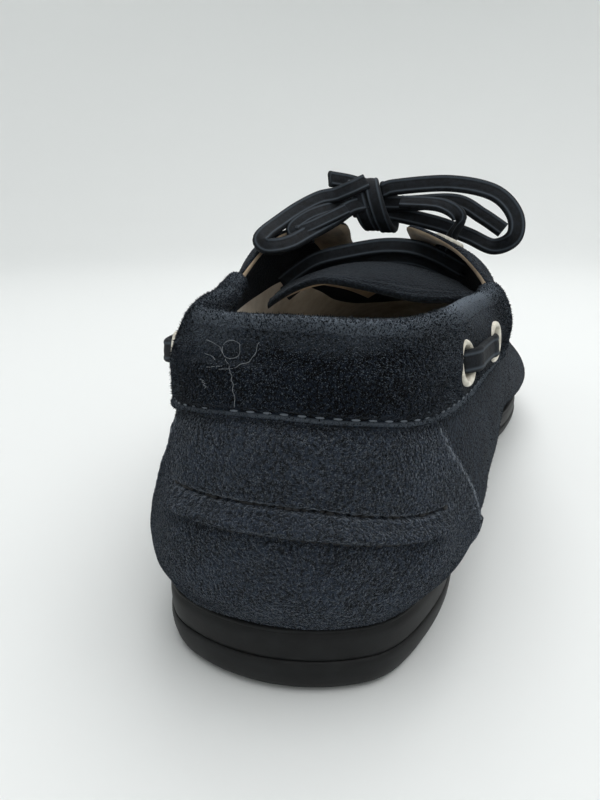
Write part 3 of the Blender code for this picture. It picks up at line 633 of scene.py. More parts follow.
upper_stations = whole_round(560)[:, None]
outer_levels = np.concatenate([
    np.linspace(0, 1, 18, endpoint=False),
    np.linspace(1, 2, 32, endpoint=False),
    np.linspace(2, 3, 28, endpoint=False),
    np.linspace(3, 4, 24),
])
inner_levels = np.linspace(4, 0, 42)[1:]
SEAM_STAND = 0.0017


def seam_rise(station, level):
    """Raised seam round the apron."""
    start = np.clip((np.abs(station) - 7.6) / 0.8, 0, 1)
    return SEAM_STAND * hump(level, 2.0, 0.045) * start


outer = skin(upper_stations, outer_levels, seam_rise(upper_stations, outer_levels))
waves = ripple(outer, 0.022, 3) * 0.00022 + ripple(outer, 0.009, 4) * 0.00008
fade = np.clip(outer_levels / 0.3, 0, 1)
outer += upper_normal(upper_stations, outer_levels) * (waves * fade)[..., None]
inner = skin(upper_stations, inner_levels, -WALL)
rise = unit(upper_point(upper_stations, 4.0) - upper_point(upper_stations, 3.96))
edge = skin(upper_stations, 4.0, -WALL / 2) + rise * WALL * 0.4
work = loft(closed(np.concatenate([outer, edge, inner], axis=1)))
bmesh.ops.recalc_face_normals(work, faces=work.faces[:])
columns = len(outer_levels) + len(inner_levels) + 1
last_outer = len(outer_levels) / columns
# Levels of a dark navy band on the inner face: tan lining above its top, pale lining below its bottom.
DARK_BAND_LOW = 2.35
DARK_BAND_TOP_INNER = 3.55
DARK_BAND_TOP_OUTER = 3.20


def sheet_place(work, face):
    """Middle of a face on its sheet: along a row, and from the first row to the last."""
    spots = [loop[work.loops.layers.uv.active].uv for loop in face.loops]
    return sum(spot.x for spot in spots) / len(spots), sum(spot.y for spot in spots) / len(spots)


for face in work.faces:
    share = sheet_place(work, face)[0]
    if share > last_outer:
        level = 4 * (1 - share) / (1 - last_outer)
        middle = face.calc_center_median()
        high = DARK_BAND_TOP_INNER if middle.x > 0 else DARK_BAND_TOP_OUTER
        face.material_index = 1 if level > high else 2 if level > DARK_BAND_LOW else 3


def eyelet_place(station, level):
    """Centre, outward direction, and directions along the outline and up, at a place on the upper."""
    out = upper_normal(station, level)
    along = upper_point(station + 0.05, level) - upper_point(station - 0.05, level)
    along = along - out * np.dot(along, out)
    along /= np.linalg.norm(along)
    return upper_point(station, level), out, along, np.cross(out, along)


places = {}
for side, sign in (("inner", 1), ("outer", -1)):
    for name, inner_station, outer_station, level in EYELETS:
        station = inner_station if sign > 0 else outer_station
        places[side, name] = eyelet_place(sign * station, level)

# The outer rear ring shows at the collar's edge in the photo, 20 mm behind the solid's.
places["outer", "rear"] = eyelet_place(-2.45, 2.62)

PUNCH_RADIUS = EYELET_BORE / 2 + 0.0006
PUNCH_REACH = 0.006


def punch(work):
    """Opens the sheet's outer face at every eyelet, under its ring. The lining stays whole behind them."""
    gone = []
    centres = np.array([face.calc_center_median() for face in work.faces])
    for centre, out, along, up in places.values():
        off = centres - centre
        depth = off @ out
        far = np.linalg.norm(off - depth[:, None] * out, axis=1)
        gone += list(np.nonzero((far < PUNCH_RADIUS) & (depth > -WALL * 0.6) & (depth < PUNCH_REACH))[0])
    work.faces.ensure_lookup_table()
    bmesh.ops.delete(work, geom=[work.faces[i] for i in set(gone)], context="FACES")


def upper_cover(points, normals):
    """Where the upper's nap stands: thinner towards the toe."""
    return np.exp(-(points[:, 1] + 0.15) / 0.07) + 0.08


punch(work)
dark_band_suede = suede("navy_inner_band_suede", "07090c", "191e26", 0.1)
upper = make_object("upper_shell", work, navy_suede, lining, dark_band_suede, deep_lining_painted_light)
put(upper, "upper_suede", "upper")
nap("upper_nap", upper, "upper_suede", 125000, 31, 0.55, upper_cover)

# Insole: thin pale tan leather sock over the footbed, with a rounded edge. Wear has clouded it.
INSOLE_THICK = 0.0030
INSOLE_INSET = 0.0046
INSOLE_SEAT = 0.0005
rows = []
insole_stations = whole_round(260)
for height, inset in ((0.0, 0.0), (0.6, -0.0003), (0.9, 0.0), (1.0, 0.0006)):
    plan = sole_edge(insole_stations, INSOLE_INSET + inset)
    base = sole_height((plan[:, 1] + CENTRE_Y) / LENGTH, TOP) + INSOLE_SEAT
    rows.append(np.column_stack([plan, base + INSOLE_THICK * height]))
work = loft(rows, shut=True)
footbed, tree, shader, place = new_material("worn_tan_sock_leather")
# Vegetable-tanned sock: pale tan with darker blots, and a low gloss.
blots = noise(tree, place, 40.0, 8.0, 0.65)
feed(tree, shader, {"Base Color": ramp(tree, blots, 0.3, "b9b0a2", 0.75, "ded6ca"), "Roughness": 0.7})
put(make_object("insole_sock", work, footbed), "insole_leather", "insole")

# Tongue: suede flap under the throat, sewn in at its front.
# Its narrow bound rear edge has gone wavy with wear.
TONGUE_THICK = 0.0022
TONGUE_ROWS = (
    # y, inner, outer, crest, inner drop, outer drop
    (0.602, 0.120, 0.120, 0.807, 0.060, 0.060),
    (0.570, 0.150, 0.150, 0.849, 0.060, 0.060),
    (0.530, 0.175, 0.175, 0.891, 0.062, 0.062),
    (0.480, 0.200, 0.200, 0.936, 0.070, 0.070),
    (0.430, 0.225, 0.225, 0.978, 0.070, 0.080),
    (0.380, 0.255, 0.250, 0.990, 0.065, 0.085),
    (0.335, 0.300, 0.262, 0.970, 0.058, 0.090),
    (0.300, 0.328, 0.258, 0.945, 0.036, 0.088),
)


def with_ends(rows):
    """Rows with one more at each end, carried on straight."""
    return np.concatenate([[2 * rows[0] - rows[1]], rows, [2 * rows[-1] - rows[-2]]])


rows = np.array(TONGUE_ROWS)
at = np.linspace(0, len(rows) - 1, 110)[:, None]
across = np.linspace(-1, 1, 90)[None, :]
columns = np.moveaxis(spline(with_ends(rows), at[:, 0]), -1, 0)[:, :, None]
y, inner_half, outer_half, crest, inner_drop, outer_drop = columns
half = np.where(across > 0, inner_half, outer_half)
drop = np.where(across > 0, inner_drop, outer_drop)
near_edge = np.clip((at - 5.6) / 1.4, 0, 1) ** 2
wave = -0.0023 * np.sin(math.pi * across) * near_edge
top = np.stack([
    across * half * BALL_WIDTH,
    y * LENGTH - CENTRE_Y + 0.0012 * np.sin(across * 9.0) * near_edge,
    (crest - drop * across**2) * COLLAR_HEIGHT + wave,
], axis=-1)
top[..., 2] += hump(at, 6.85, 0.10) * 0.0006 - hump(at, 6.62, 0.05) * 0.0003
middle = top - np.array([0, 0, TONGUE_THICK / 2])
half_thick = top - middle
angles = np.radians(np.arange(15, 91, 15))[:, None, None]
round_middle = middle[-1] - np.array([0, TONGUE_THICK / 2, 0]) * np.sin(angles)
round_half = half_thick[-1] * np.cos(angles)
middle = np.concatenate([middle, round_middle])
half_thick = np.concatenate([half_thick, round_half])
rows = np.concatenate([middle + half_thick, (middle - half_thick)[:, ::-1]], axis=1)
work = loft(closed(rows), shut=True)
for face in work.faces:
    share, edge_row = sheet_place(work, face)
    face.material_index = int(share > 0.51 and edge_row < 0.93 and len(face.loops) < 5)


def tongue_cover(points, normals):
    """Where the tongue's nap stands: on its upper face."""
    return (normals[:, 2] > 0.2) * 1.0


tongue_suede = suede("navy_tongue_suede", "0c0f13", "1a2027", 0.20)
tongue = make_object("tongue_flap", work, tongue_suede, lining)
put(tongue, "tongue_suede", "tongue")
nap("tongue_nap", tongue, "tongue_suede", 12000, 61, 0.5, tongue_cover)

# Heel counter: suede patch sewn over the back seam, with a pinched ridge stitched across the heel.
# It runs thin under the collar, and pale stitches hold its edges.
COUNTER_THICK = 0.0012
COUNTER_HIGH = 1.76
COUNTER_LOW = 0.03
COUNTER_TOP = (
    (-2.35, 0.95), (-2.02, 1.43), (-1.62, COUNTER_HIGH), (2.35, COUNTER_HIGH), (2.84, 1.33), (3.08, 0.95),
)
INNER_SEAM = ((2.26, 1.84), (2.33, 1.70), (2.76, 1.33), (2.995, 0.97), (2.995, 0.15))
OUTER_SEAM = ((-1.58, 1.84), (-1.60, 1.72), (-1.95, 1.43), (-2.27, 0.97), (-2.27, 0.15))
COUNTER_TUCK = 0.13
RIDGE_STAND = 0.0028
RIDGE_LINE = (
    (-1.5, 1.41), (-1.25, 1.40), (-0.2, 1.39), (0.7, 1.38), (1.3, 1.345), (1.95, 1.305), (2.3, 1.30),
)
RIDGE_HALF = 0.062
PUCKER_RUN = 0.115


def bump_between(value, low, high, soft):
    """1 between low and high, eased to 0 over soft outside them."""
    up = np.clip((value - low) / soft + 1, 0, 1)
    down = np.clip((high - value) / soft + 1, 0, 1)
    both = np.minimum(up, down)
    return both * both * (3 - 2 * both)


def ridge_middle(station):
    """Level of the ridge at a station."""
    line = np.array(RIDGE_LINE)
    return np.interp(station, line[:, 0], line[:, 1])


def counter_rise(station, level):
    """Thickness of the counter: skived thin under the collar, with the ridge, puckered along its stitches."""
    ends = bump_between(station, -1.15, 1.95, 0.35)
    across = (level - ridge_middle(station)) / RIDGE_HALF
    down = np.clip((1 - across) / 2, 0, 1)
    fold = np.clip(1 - (np.clip(down - 0.72, 0, 1) / 0.28) ** 2, 0, 1) ** 0.5
    puff = np.where(down < 0.72, bump_between(down, 0.72, 1.0, 0.72), fold)
    pucker = 0.5 + 0.5 * np.cos(station * 2 * math.pi / PUCKER_RUN + 2 * np.sin(station * 3.1))
    sewn = hump(across, 1.05, 0.17) * (0.0012 + 0.0008 * pucker)
    sewn += hump(across, 0.4, 0.40) * 0.0005 * pucker
    under = hump(across, -1.2, 0.25) * (0.0003 + 0.0002 * pucker)
    skived = COUNTER_THICK * (1 - 0.85 * np.clip((level - COUNTER_HIGH) / 0.10, 0, 1))
    return skived + (RIDGE_STAND * puff - sewn - under) * ends


COUNTER_START = COUNTER_TOP[0][0]
COUNTER_END = COUNTER_TOP[-1][0]
counter_stations = even_stations(COUNTER_START, COUNTER_END, 420)[:, None]
steps = np.concatenate([
    np.linspace(0.0, 0.62, 34, endpoint=False),
    np.linspace(0.62, 0.84, 50, endpoint=False),
    np.linspace(0.84, 1.0, 24),
])[None, :]
top = np.array(COUNTER_TOP)
high = np.interp(counter_stations, top[:, 0], top[:, 1])
high += COUNTER_TUCK * bump_between(counter_stations, COUNTER_TOP[2][0], COUNTER_TOP[3][0], 0.12)
levels = COUNTER_LOW + (high - COUNTER_LOW) * steps
side_run = np.minimum(counter_stations - COUNTER_START, COUNTER_END - counter_stations)
edge_fade = np.clip((1 - steps) / 0.02, 0, 1) ** 0.5 * np.clip(side_run / 0.03, 0, 1) ** 0.5
hem = hump(side_run, 0.075, 0.02) * 0.0005 - hump(side_run, 0.03, 0.03) * 0.0003
over = skin(counter_stations, levels, 0.0001 + (counter_rise(counter_stations, levels) - hem) * edge_fade)
waves = ripple(over, 0.016, 8) * 0.0003 + ripple(over, 0.007, 9) * 0.0001
over += upper_normal(counter_stations, levels) * (waves * edge_fade)[..., None]
work = loft(over)
DISTANCE_BATCH = 4000


def distance(points, line):
    """Distance from each point to the nearest point of a line."""
    least = np.full(len(points), 1.0)
    for start in range(0, len(points), DISTANCE_BATCH):
        batch = slice(start, start + DISTANCE_BATCH)
        least[batch] = np.linalg.norm(points[batch, None] - line[None], axis=2).min(axis=1)
    return least


def counter_cover(points, normals):
    """Where the counter's nap stands: all over but along the ridge's upper stitches and the inner seam."""
    stations = np.linspace(-1.35, 2.2, 300)
    seam = skin(stations, ridge_middle(stations) + 1.05 * RIDGE_HALF, 0.0010)
    cover = np.clip((distance(points, seam) - 0.0006) / 0.0006, 0.12, 1)
    at = np.linspace(0, 3, 200)
    seam = skin(*(np.interp(at, range(4), values) for values in zip(*INNER_SEAM[:4])), 0.0012)
    return cover * np.clip((distance(points, seam) - 0.0003) / 0.0005, 0.15, 1)


# Painted highlight: weak, on the counter's upward faces such as the ridge's crest.
counter_suede = suede("navy_counter_suede", "020306", "2e3643", 0.80, 0.14)
counter = make_object("heel_counter_patch", work, counter_suede)
put(counter, "counter_suede", "heel_counter")
nap("counter_nap", counter, "counter_suede", 168000, 41, 0.9, counter_cover)

# Collar roll: padded suede band turned over the collar's edge and sewn down through the upper with long
# stitches. Its top carries a painted highlight, paler where it faces up.
BAND_THICK = 0.0016
BAND_ROLL = 0.0034
BAND_LOW = 1.868
STITCH_LEVEL = 1.930


def band_stand(level):
    """Puff of the band's outer face: thin at its cut edge, held down at the stitches, full above them."""
    cut = np.clip((level - BAND_LOW) / 0.02, 0, 1) ** 0.5
    held = hump(level, STITCH_LEVEL, 0.03)
    full = np.clip((level - STITCH_LEVEL) / 0.5, 0, 1)
    return 0.0001 + cut * (BAND_THICK - 0.0009 * held + (BAND_THICK - 0.0006) * full)


band_stations = even_stations(-BAND_END, BAND_END, 460)[:, None]
band_levels = np.concatenate([
    np.linspace(BAND_LOW, 2.1, 26, endpoint=False),
    np.linspace(2.1, 3.85, 44),
])[None, :]
outside = skin(band_stations, band_levels, band_stand(band_levels))
out = upper_normal(band_stations[:, 0], np.full(len(band_stations), 4.0))
rise = unit(upper_point(band_stations[:, 0], 4.0) - upper_point(band_stations[:, 0], 3.9))
middle = skin(band_stations[:, 0], 4.0, -WALL / 2)
turn = np.radians(np.linspace(20, 170, 16))[None, :, None]
arc = middle[:, None] + (out[:, None] * np.cos(turn) + rise[:, None] * np.sin(turn)) * BAND_ROLL
inside_levels = np.linspace(3.8, 3.1, 10)[None, :]
inside = skin(band_stations, inside_levels, -WALL - GAP - BAND_THICK)
back = skin(band_stations, np.linspace(3.1, 3.7, 3)[None, :], -WALL)
low = skin(band_stations, np.array([[BAND_LOW]]), 0.0)
rows = np.concatenate([outside, arc, inside, back, low], axis=1)
shown = outside.shape[1] + arc.shape[1]
waves = ripple(rows[:, :shown], 0.020, 12) * 0.00028 + ripple(rows[:, :shown], 0.008, 13) * 0.0001
waves *= bump_between(np.arange(shown), 6, shown, 5)
rows[:, :shown] += out[:, None] * waves[..., None]
work = loft(closed(rows), shut=True)
punch(work)
# Painted highlight: strong on the collar's upward faces, pale along its top roll.
collar_suede = suede("navy_collar_suede", "010203", "161d27", 0.10, 0.75)
collar = make_object("collar_band", work, collar_suede)
put(collar, "collar_suede", "collar_roll")


WORN_END = skin(3.9, 3.9, 0.003)
BAND_RINGS = ("rear", "second")


def collar_cover(points, normals):
    """Where the collar's nap stands: hardly at its cut edge, stitches, eyelets and worn end."""
    cover = np.where(normals[:, 2] < -0.5, 0.05, 1.0)
    worn = hump(np.linalg.norm(points - WORN_END, axis=1), 0.0, 0.016)
    cover *= 1 - 0.95 * np.clip(worn * 1.6, 0, 1)
    seam = skin(np.linspace(-BAND_END, BAND_END, 600), STITCH_LEVEL, 0.0008)
    cover *= np.clip((distance(points, seam) - 0.0004) / 0.0005, 0.1, 1)
    for (side, name), (centre, out, along, up) in places.items():
        if name in BAND_RINGS:
            near = np.linalg.norm(points - centre, axis=1)
            cover *= np.clip((near - EYELET_OUTER / 2 - 0.0012) / 0.0015, 0.0, 1)
    return cover


nap("collar_nap", collar, "collar_suede", 168000, 51, 0.95, collar_cover)

# Stitching: waxed thread, a pale row round the collar and the counter's edges, dark rows on the ridge and the
# throat's edge, and thick hand stitches over the apron seam. Each stitch is a small bead in the suede.
def thread(name, colour):
    """Waxed polyester thread."""
    made, tree, shader, place = new_material(name)
    shade = tuple(c * 0.6 for c in linear(colour))
    twisted = mix(tree, noise(tree, place, 2500.0), shade, linear(colour))
    feed(tree, shader, {"Base Color": twisted, "Roughness": 0.6})
    return made


# Pitch, length and width of each kind of stitch.
COLLAR_STITCH = (0.0033, 0.0018, 0.00045)
SEAM_STITCH = (0.0024, 0.0016, 0.00045)
RIDGE_STITCH = (0.0021, 0.0018, 0.0011)
THROAT_STITCH = (0.0030, 0.0019, 0.0005)
APRON_STITCH = (0.0048, 0.0046, 0.0011)


def stitch_row(work, line, stand, kind, across=False):
    """Stitches of a kind along a line of stations and levels, at a stand, laid along it or across it."""
    pitch, length, width = kind
    fine = np.linspace(0, len(line) - 1, 1500)
    station, level = (np.interp(fine, np.arange(len(line)), values) for values in zip(*line))
    points = skin(station, level, stand(station, level))
    outs = upper_normal(station, level)
    run = run_along(points)
    uneven = np.random.default_rng(7)
    for want in np.arange(pitch / 2, run[-1], pitch):
        i = int(np.searchsorted(run, want))
        out = Vector(outs[i])
        sink = uneven.uniform(-0.00015, 0.00005)
        along = Vector(points[min(i + 5, len(points) - 1)] - points[i - 5])
        along = (along - out * along.dot(out)).normalized()
        if across:
            along = out.cross(along)
        turned = Matrix((along, out.cross(along), out)).transposed().to_4x4()
        size = Matrix.Diagonal((length / 2, width / 2, width / 3, 1.0))
        matrix = Matrix.Translation(Vector(points[i]) + out * sink) @ turned @ size
        bmesh.ops.create_uvsphere(work, u_segments=8, v_segments=5, radius=1.0, matrix=matrix)


pale_thread = thread("pale_grey_thread", "737c86")
dark_thread = thread("navy_thread", "0b0d11")
work = bmesh.new()
line = ((-4.9, STITCH_LEVEL), (4.9, STITCH_LEVEL))
stitch_row(work, line, lambda s, l: band_stand(l) + 0.0001, COLLAR_STITCH)
put(make_object("collar_stitches", work, pale_thread), "collar_suede")

work = bmesh.new()
for line in (INNER_SEAM, OUTER_SEAM):
    stitch_row(work, line, lambda s, l: counter_rise(s, l) + 0.0002, SEAM_STITCH)
put(make_object("counter_stitches", work, pale_thread), "counter_suede")

work = bmesh.new()
ridge_stations = np.linspace(-1.35, 2.2, 12)
for across, row_stand in ((1.05, 0.0004), (-1.15, 0.0002)):
    line = np.column_stack([ridge_stations, ridge_middle(ridge_stations) + across * RIDGE_HALF])
    stitch_row(work, line, lambda s, l: counter_rise(s, l) + row_stand, RIDGE_STITCH)
put(make_object("ridge_stitches", work, dark_thread), "counter_suede")

work = bmesh.new()
for sign in (1, -1):
    line = ((sign * 5.15, 3.78), (sign * 12.9, 3.78))
    stitch_row(work, line, lambda s, l: 0.00005, THROAT_STITCH)
    line = ((sign * 7.7, 2.0), (sign * 12.9, 2.0))
    stitch_row(work, line, lambda s, l: SEAM_STAND, APRON_STITCH, across=True)
put(make_object("upper_stitches", work, dark_thread), "upper_suede")

# Eyelets: cream lacquered brass rings pressed through the suede. Those on the collar's band stand higher.
# Lacquer on metal: smooth, a little dull, with a faint warm tone.
lacquer, tree, shader, place = new_material("cream_lacquered_brass")
specks = noise(tree, place, 600.0, 4.0)
feed(tree, shader, {"Base Color": ramp(tree, specks, 0.35, "b9b3a4", 0.65, "e2ddd0"), "Roughness": 0.4})
EYELET_RIM = 0.0008
BAND_RING_STAND = 0.0018
for (side, name), (centre, out, along, up) in places.items():
    base = BAND_RING_STAND if name in BAND_RINGS else 0.0
    r0 = EYELET_BORE / 2
    r1 = EYELET_OUTER / 2
    profile = [(r0, -WALL + 0.0004), (r0, base + 0.0004)]
    for angle in np.radians(np.linspace(170, 0, 8)):
        radius = (r0 + r1) / 2 + (r1 - r0) / 2 * math.cos(angle)
        profile.append((radius, base + 0.0003 + EYELET_RIM * math.sin(angle)))
    profile.append((r1 - 0.0002, base - 0.0006))
    rows = []
    for angle in np.linspace(0, 2 * math.pi, 41):
        arm = along * math.cos(angle) + up * math.sin(angle)
        rows.append([centre + arm * radius + out * stand for radius, stand in profile])
    work = loft(rows)
    bmesh.ops.recalc_face_normals(work, faces=work.faces[:])
    ring_object = make_object("eyelet_ring_%s_%s" % (side, name), work, lacquer)
    put(ring_object, "eyelets", "eyelet_%s_%s" % (side, name))

# Laces: flat waxed leather lace, folded so that two fine ridges run along it. It goes round the collar
# through the side eyelets and over the throat.
LACE_WIDTH = 0.0054
LACE_THICK = 0.0023
LACE_SHAPE = (
    # share of half width, share of half thickness
    (-1.00, 0.00), (-0.95, 0.55), (-0.80, 0.92), (-0.62, 1.00), (-0.46, 0.84), (-0.25, 0.90),
    (0.00, 0.95), (0.25, 0.90), (0.46, 0.84), (0.62, 1.00), (0.80, 0.92), (0.95, 0.55),
    (1.00, 0.00), (0.95, -0.55), (0.70, -0.95), (0.30, -0.90), (-0.30, -0.90), (-0.70, -0.95), (-0.95, -0.55),
)
lace_leather, tree, shader, place = new_material("navy_waxed_lace_leather")
# Waxed leather: dark, low gloss, with paler stripes along the crests of its ridges.
wear = noise(tree, place, 500.0, 6.0, 0.7)
tone = ramp(tree, wear, 0.35, "06080b", 0.75, "181e25")
across = add(tree, "ShaderNodeSeparateXYZ", {0: tree.nodes.new("ShaderNodeTexCoord").outputs["UV"]})
ridges = add(tree, "ShaderNodeValToRGB", {"Fac": across.outputs["X"]})
for at, bright in ((0.10, 0.0), (0.158, 0.6), (0.21, 0.0), (0.42, 0.0), (0.474, 0.6), (0.53, 0.0)):
    stop = ridges.color_ramp.elements.new(at)
    stop.color = (bright, bright, bright, 1.0)
ridges.color_ramp.elements[-1].color = (0.0, 0.0, 0.0, 1.0)
feed(tree, shader, {
    "Base Color": mix(tree, ridges.outputs["Color"], tone, linear("4b545d")),
    "Normal": relief(tree, wear, 0.6, 0.0003),
    "Roughness": 0.8,
    "Specular IOR Level": 0.25,
})


def smooth_path(points, count):
    """Even points along a smooth curve through a few."""
    points = np.asarray(points, float)
    fine = spline(with_ends(points), np.linspace(0, len(points) - 1, 60 * len(points)))
    run = run_along(fine)
    want = np.linspace(0, run[-1], count)
    return np.stack([np.interp(want, run, fine[:, k]) for k in range(fine.shape[1])], axis=1)


def lace_mesh(path, faces, width=LACE_WIDTH, thick=LACE_THICK):
    """Lace along a path, its flat face looking to faces, one direction or one for each point."""
    along = unit(np.gradient(path, axis=0))
    ups = square_to(np.broadcast_to(np.asarray(faces, float), path.shape), along)
    shape = np.array(LACE_SHAPE)
    rows = path[:, None] + np.cross(along, ups)[:, None] * (shape[:, :1] * width / 2)
    rows += ups[:, None] * (shape[:, 1:] * thick / 2)
    return loft(closed(rows), shut=True)


# Side runs: each comes up through one ring, bends over, and goes down through the next. The outer rear run
# starts at the ring that was moved back.
SIDE_LACE_ROWS = ((0.0010, -0.0008), (0.0020, 0.0002), (0.0036, 0.0014), (0.0058, 0.0017), (0.0085, 0.0012))
SIDE_LACE_THICK = 0.0017
for side, sign in (("inner", 1), ("outer", -1)):
    for run, first, last, lift in (("rear", "rear", "second", 0.0019), ("front", "third", "fourth", 0.0)):
        start = places[side, first]
        end = places[side, last]
        path = [start[0] + start[2] * sign * x + start[1] * (stand + lift) for x, stand in SIDE_LACE_ROWS]
        if (side, run) == ("outer", "rear"):
            path = path[:3] + [skin(-2.85, 2.60, 0.0058), skin(-3.50, 2.57, 0.0042)]
        path += [end[0] - end[2] * sign * x + end[1] * (stand + lift) for x, stand in SIDE_LACE_ROWS[::-1]]
        work = lace_mesh(smooth_path(path, 60), start[1] + end[1], LACE_WIDTH, SIDE_LACE_THICK)
        run_object = make_object("side_lace_run_%s_%s" % (side, run), work, lace_leather)
        put(run_object, "lace", "side_lace_%s_%s" % (side, run))


def from_heel(rows):
    """Points listed in millimetres, y from the back of the sole."""
    return np.array(rows) * 0.001 - np.array([0.0, CENTRE_Y, 0.0])


BAR_ROWS = (
    (-31.0, 113.0, 69.0), (-26.0, 114.0, 73.0), (-19.5, 115.0, 77.0), (-11.0, 116.0, 79.3),
    (2.0, 117.0, 81.6), (12.0, 119.0, 81.2), (20.0, 121.0, 78.4), (28.0, 122.5, 74.0),
)
work = lace_mesh(smooth_path(from_heel(BAR_ROWS), 60), (0.0, -1.0, 0.25))
put(make_object("lace_rear_bar", work, lace_leather), "lace", "lace_bar_rear")

# A second strip of the lace shows just below the rear bar.
SECOND_BAR_SHIFT = (0.0, 0.0030, -0.0040)
work = lace_mesh(smooth_path(from_heel(BAR_ROWS), 60) + SECOND_BAR_SHIFT, (0.0, -1.0, 0.25))
put(make_object("lace_second_bar", work, lace_leather), "lace")

left = places["outer", "lower"]
right = places["inner", "lower"]
rise = ((0.0, -0.0032), (0.0, -0.0008), (0.0008, 0.0024), (0.0034, 0.0036))
path = [left[0] + left[3] * y + left[1] * stand for y, stand in rise]
back = [right[0] + right[3] * y + right[1] * stand for y, stand in rise[::-1]]
middle = (path[-1] + back[0]) / 2 + np.array([0.0, 0.0, 0.0008])
work = lace_mesh(smooth_path(path + [middle] + back, 80), left[1] + right[1] + np.array([0.0, -0.01, 0.0]))
put(make_object("lace_front_bar", work, lace_leather), "lace", "lace_bar_front")

STRAND_ROWS = {
    "inner": ((26.5, 120.5, 90.5), (20.5, 121.0, 94.5), (7.0, 123.0, 95.5)),
    "outer": ((-25.0, 124.0, 91.5), (-16.0, 127.5, 96.0), (-3.6, 129.2, 98.4)),
}
for side in ("inner", "outer"):
    start = places[side, "upper"]
    path = [start[0] + start[1] * stand for stand in (-0.005, -0.001, 0.003)]
    path += list(from_heel(STRAND_ROWS[side]))
    work = lace_mesh(smooth_path(path, 60), start[3] + np.array([0.0, -0.6, 0.6]), LACE_WIDTH * 0.9)
    put(make_object("lace_strand_%s_run" % side, work, lace_leather), "lace", "lace_strand_%s" % side)

# Bow: the same lace tied over the throat, with a loop to each side, and its two cut ends left free.
KNOT_CENTRE = (0.0, 127.0, 94.5)
KNOT_TURNS = 2.25
KNOT_PHASE = 0.55
knot_angles = np.linspace(0, KNOT_TURNS * 2 * math.pi, 240)
knot_run = knot_angles / knot_angles[-1]
knot_angles -= KNOT_PHASE
wind = np.stack([
    -0.0092 + 0.0122 * knot_run - 0.0020 * np.sin(knot_angles),
    0.0064 * np.cos(knot_angles),
    (0.0070 + 0.0012 * knot_run) * np.sin(knot_angles),
], axis=1) + from_heel([KNOT_CENTRE])[0]


def lace_cord(name, path, faces, node):
    """Free length of the lace."""
    obj = make_object(name, lace_mesh(path, faces), lace_leather)
    put(obj, "lace", node)


lace_cord("bow_knot", wind, wind - wind.mean(axis=0) * (0, 1, 1) - wind * (1, 0, 0), "lace_knot")
LOOP_LEFT_ROWS = (
    (-2.0, 122.5, 95.5), (-8.5, 119.0, 94.0), (-13.6, 115.0, 90.3), (-19.8, 106.5, 86.2),
    (-23.4, 100.5, 83.7), (-26.7, 95.5, 82.7), (-29.6, 92.5, 82.9), (-31.3, 92.8, 84.6),
    (-30.7, 96.0, 86.6), (-28.7, 103.0, 89.3), (-24.7, 111.0, 93.2), (-19.2, 117.5, 96.6),
    (-14.1, 119.8, 97.8), (-9.0, 119.6, 99.8), (-4.5, 122.0, 102.0),
)
LOOP_RIGHT_ROWS = (
    (0.0, 127.5, 99.0), (4.6, 127.5, 100.3), (22.0, 126.5, 101.3), (36.0, 124.5, 98.5),
    (43.0, 122.5, 92.0), (43.5, 121.5, 85.0), (37.5, 126.0, 81.5), (29.0, 132.0, 84.5),
    (19.0, 134.0, 88.0), (7.3, 132.5, 90.8), (1.0, 131.0, 92.0),
)
END_LEFT_ROWS = (
    (8.5, 137.3, 90.5), (5.5, 137.6, 93.5), (0.0, 137.6, 96.8), (-6.0, 136.0, 99.8),
    (-11.0, 130.0, 101.8), (-17.0, 123.0, 103.0),
)
END_RIGHT_ROWS = (
    (-2.5, 130.2, 95.0), (8.3, 131.5, 95.0), (24.0, 132.5, 95.5), (33.0, 132.0, 91.0),
    (40.0, 131.0, 86.5),
)
for name, rows, count, faces, node, far_end in (
    ("bow_left_loop", LOOP_LEFT_ROWS, 150, (0.25, -1.0, 0.5), "bow_loop_left", "object"),
    ("bow_right_loop", LOOP_RIGHT_ROWS, 180, (0.25, -1.0, 0.35), "bow_loop_right", "object"),
    ("bow_left_end", END_LEFT_ROWS, 60, (0.25, -1.0, 0.35), "lace_end_left", "bare"),
    ("bow_right_end", END_RIGHT_ROWS, 70, (0.25, -1.0, 0.5), "lace_end_right", "bare"),
):
    lace_cord(name, smooth_path(from_heel(rows), count), faces, node)

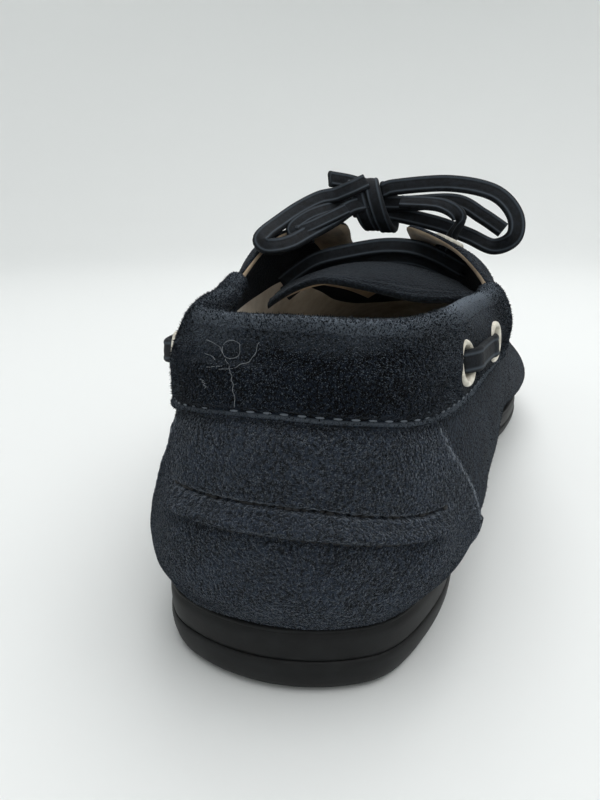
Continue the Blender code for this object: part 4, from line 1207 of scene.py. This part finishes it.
# The left loop's inner turn shows inside it as a narrower strip.
LOOP_TURN_ROWS = (
    (-8.5, 125.5, 94.5), (-14.0, 119.5, 94.0), (-20.0, 111.0, 91.8), (-24.0, 105.5, 88.6),
    (-24.2, 103.8, 86.6), (-20.5, 106.8, 87.6), (-15.5, 112.0, 90.2), (-10.0, 117.5, 93.2),
)
turn_path = smooth_path(from_heel(LOOP_TURN_ROWS), 110)
work = lace_mesh(turn_path, (0.25, -1.0, 0.5), LACE_WIDTH * 0.8, LACE_THICK * 0.8)
put(make_object("bow_inner_turn", work, lace_leather), "lace")

# Lint: a few loose pale hairs caught in the collar's nap, as points of station and level on the upper.
LINT_THICK = 0.00006
LINT_STAND = 0.0030
LINT_ROWS = (
    ((-1.02, 3.35), (-0.85, 3.28), (-0.68, 3.10), (-0.49, 2.48)),
    ((-0.72, 3.28), (-0.63, 3.42), (-0.50, 3.32), (-0.47, 3.08), (-0.55, 2.95), (-0.68, 3.07), (-0.70, 3.22)),
    ((-0.27, 3.42), (-0.29, 2.99), (-0.44, 2.59), (-0.63, 2.49)),
    ((-0.81, 2.51), (-0.60, 2.59)),
    ((-0.49, 2.48), (-0.42, 2.15), (-0.37, 1.97)),
    ((-0.86, 2.26), (-0.80, 2.18), (-0.77, 2.13)),
    ((-0.93, 3.02), (-0.80, 2.97), (-0.74, 2.80)),
)
hair, tree, shader, place = new_material("white_lint")
# Cotton hair: thin, pale and dull.
tone = mix(tree, noise(tree, place, 900.0), linear("5a6167"), linear("a8adb1"))
feed(tree, shader, {"Base Color": tone, "Roughness": 0.8})
work = bmesh.new()
for rows in LINT_ROWS:
    spread = smooth_path(np.array(rows), 24)
    path = skin(spread[:, 0], spread[:, 1], LINT_STAND + 0.0003 * np.sin(np.arange(24) * 0.9))
    made = lace_mesh(path, upper_normal(spread[:, 0], spread[:, 1]), LINT_THICK, LINT_THICK)
    mesh = bpy.data.meshes.new("strand")
    made.to_mesh(mesh)
    made.free()
    work.from_mesh(mesh)
    bpy.data.meshes.remove(mesh)
put(make_object("lint_hairs", work, hair), "collar_suede")
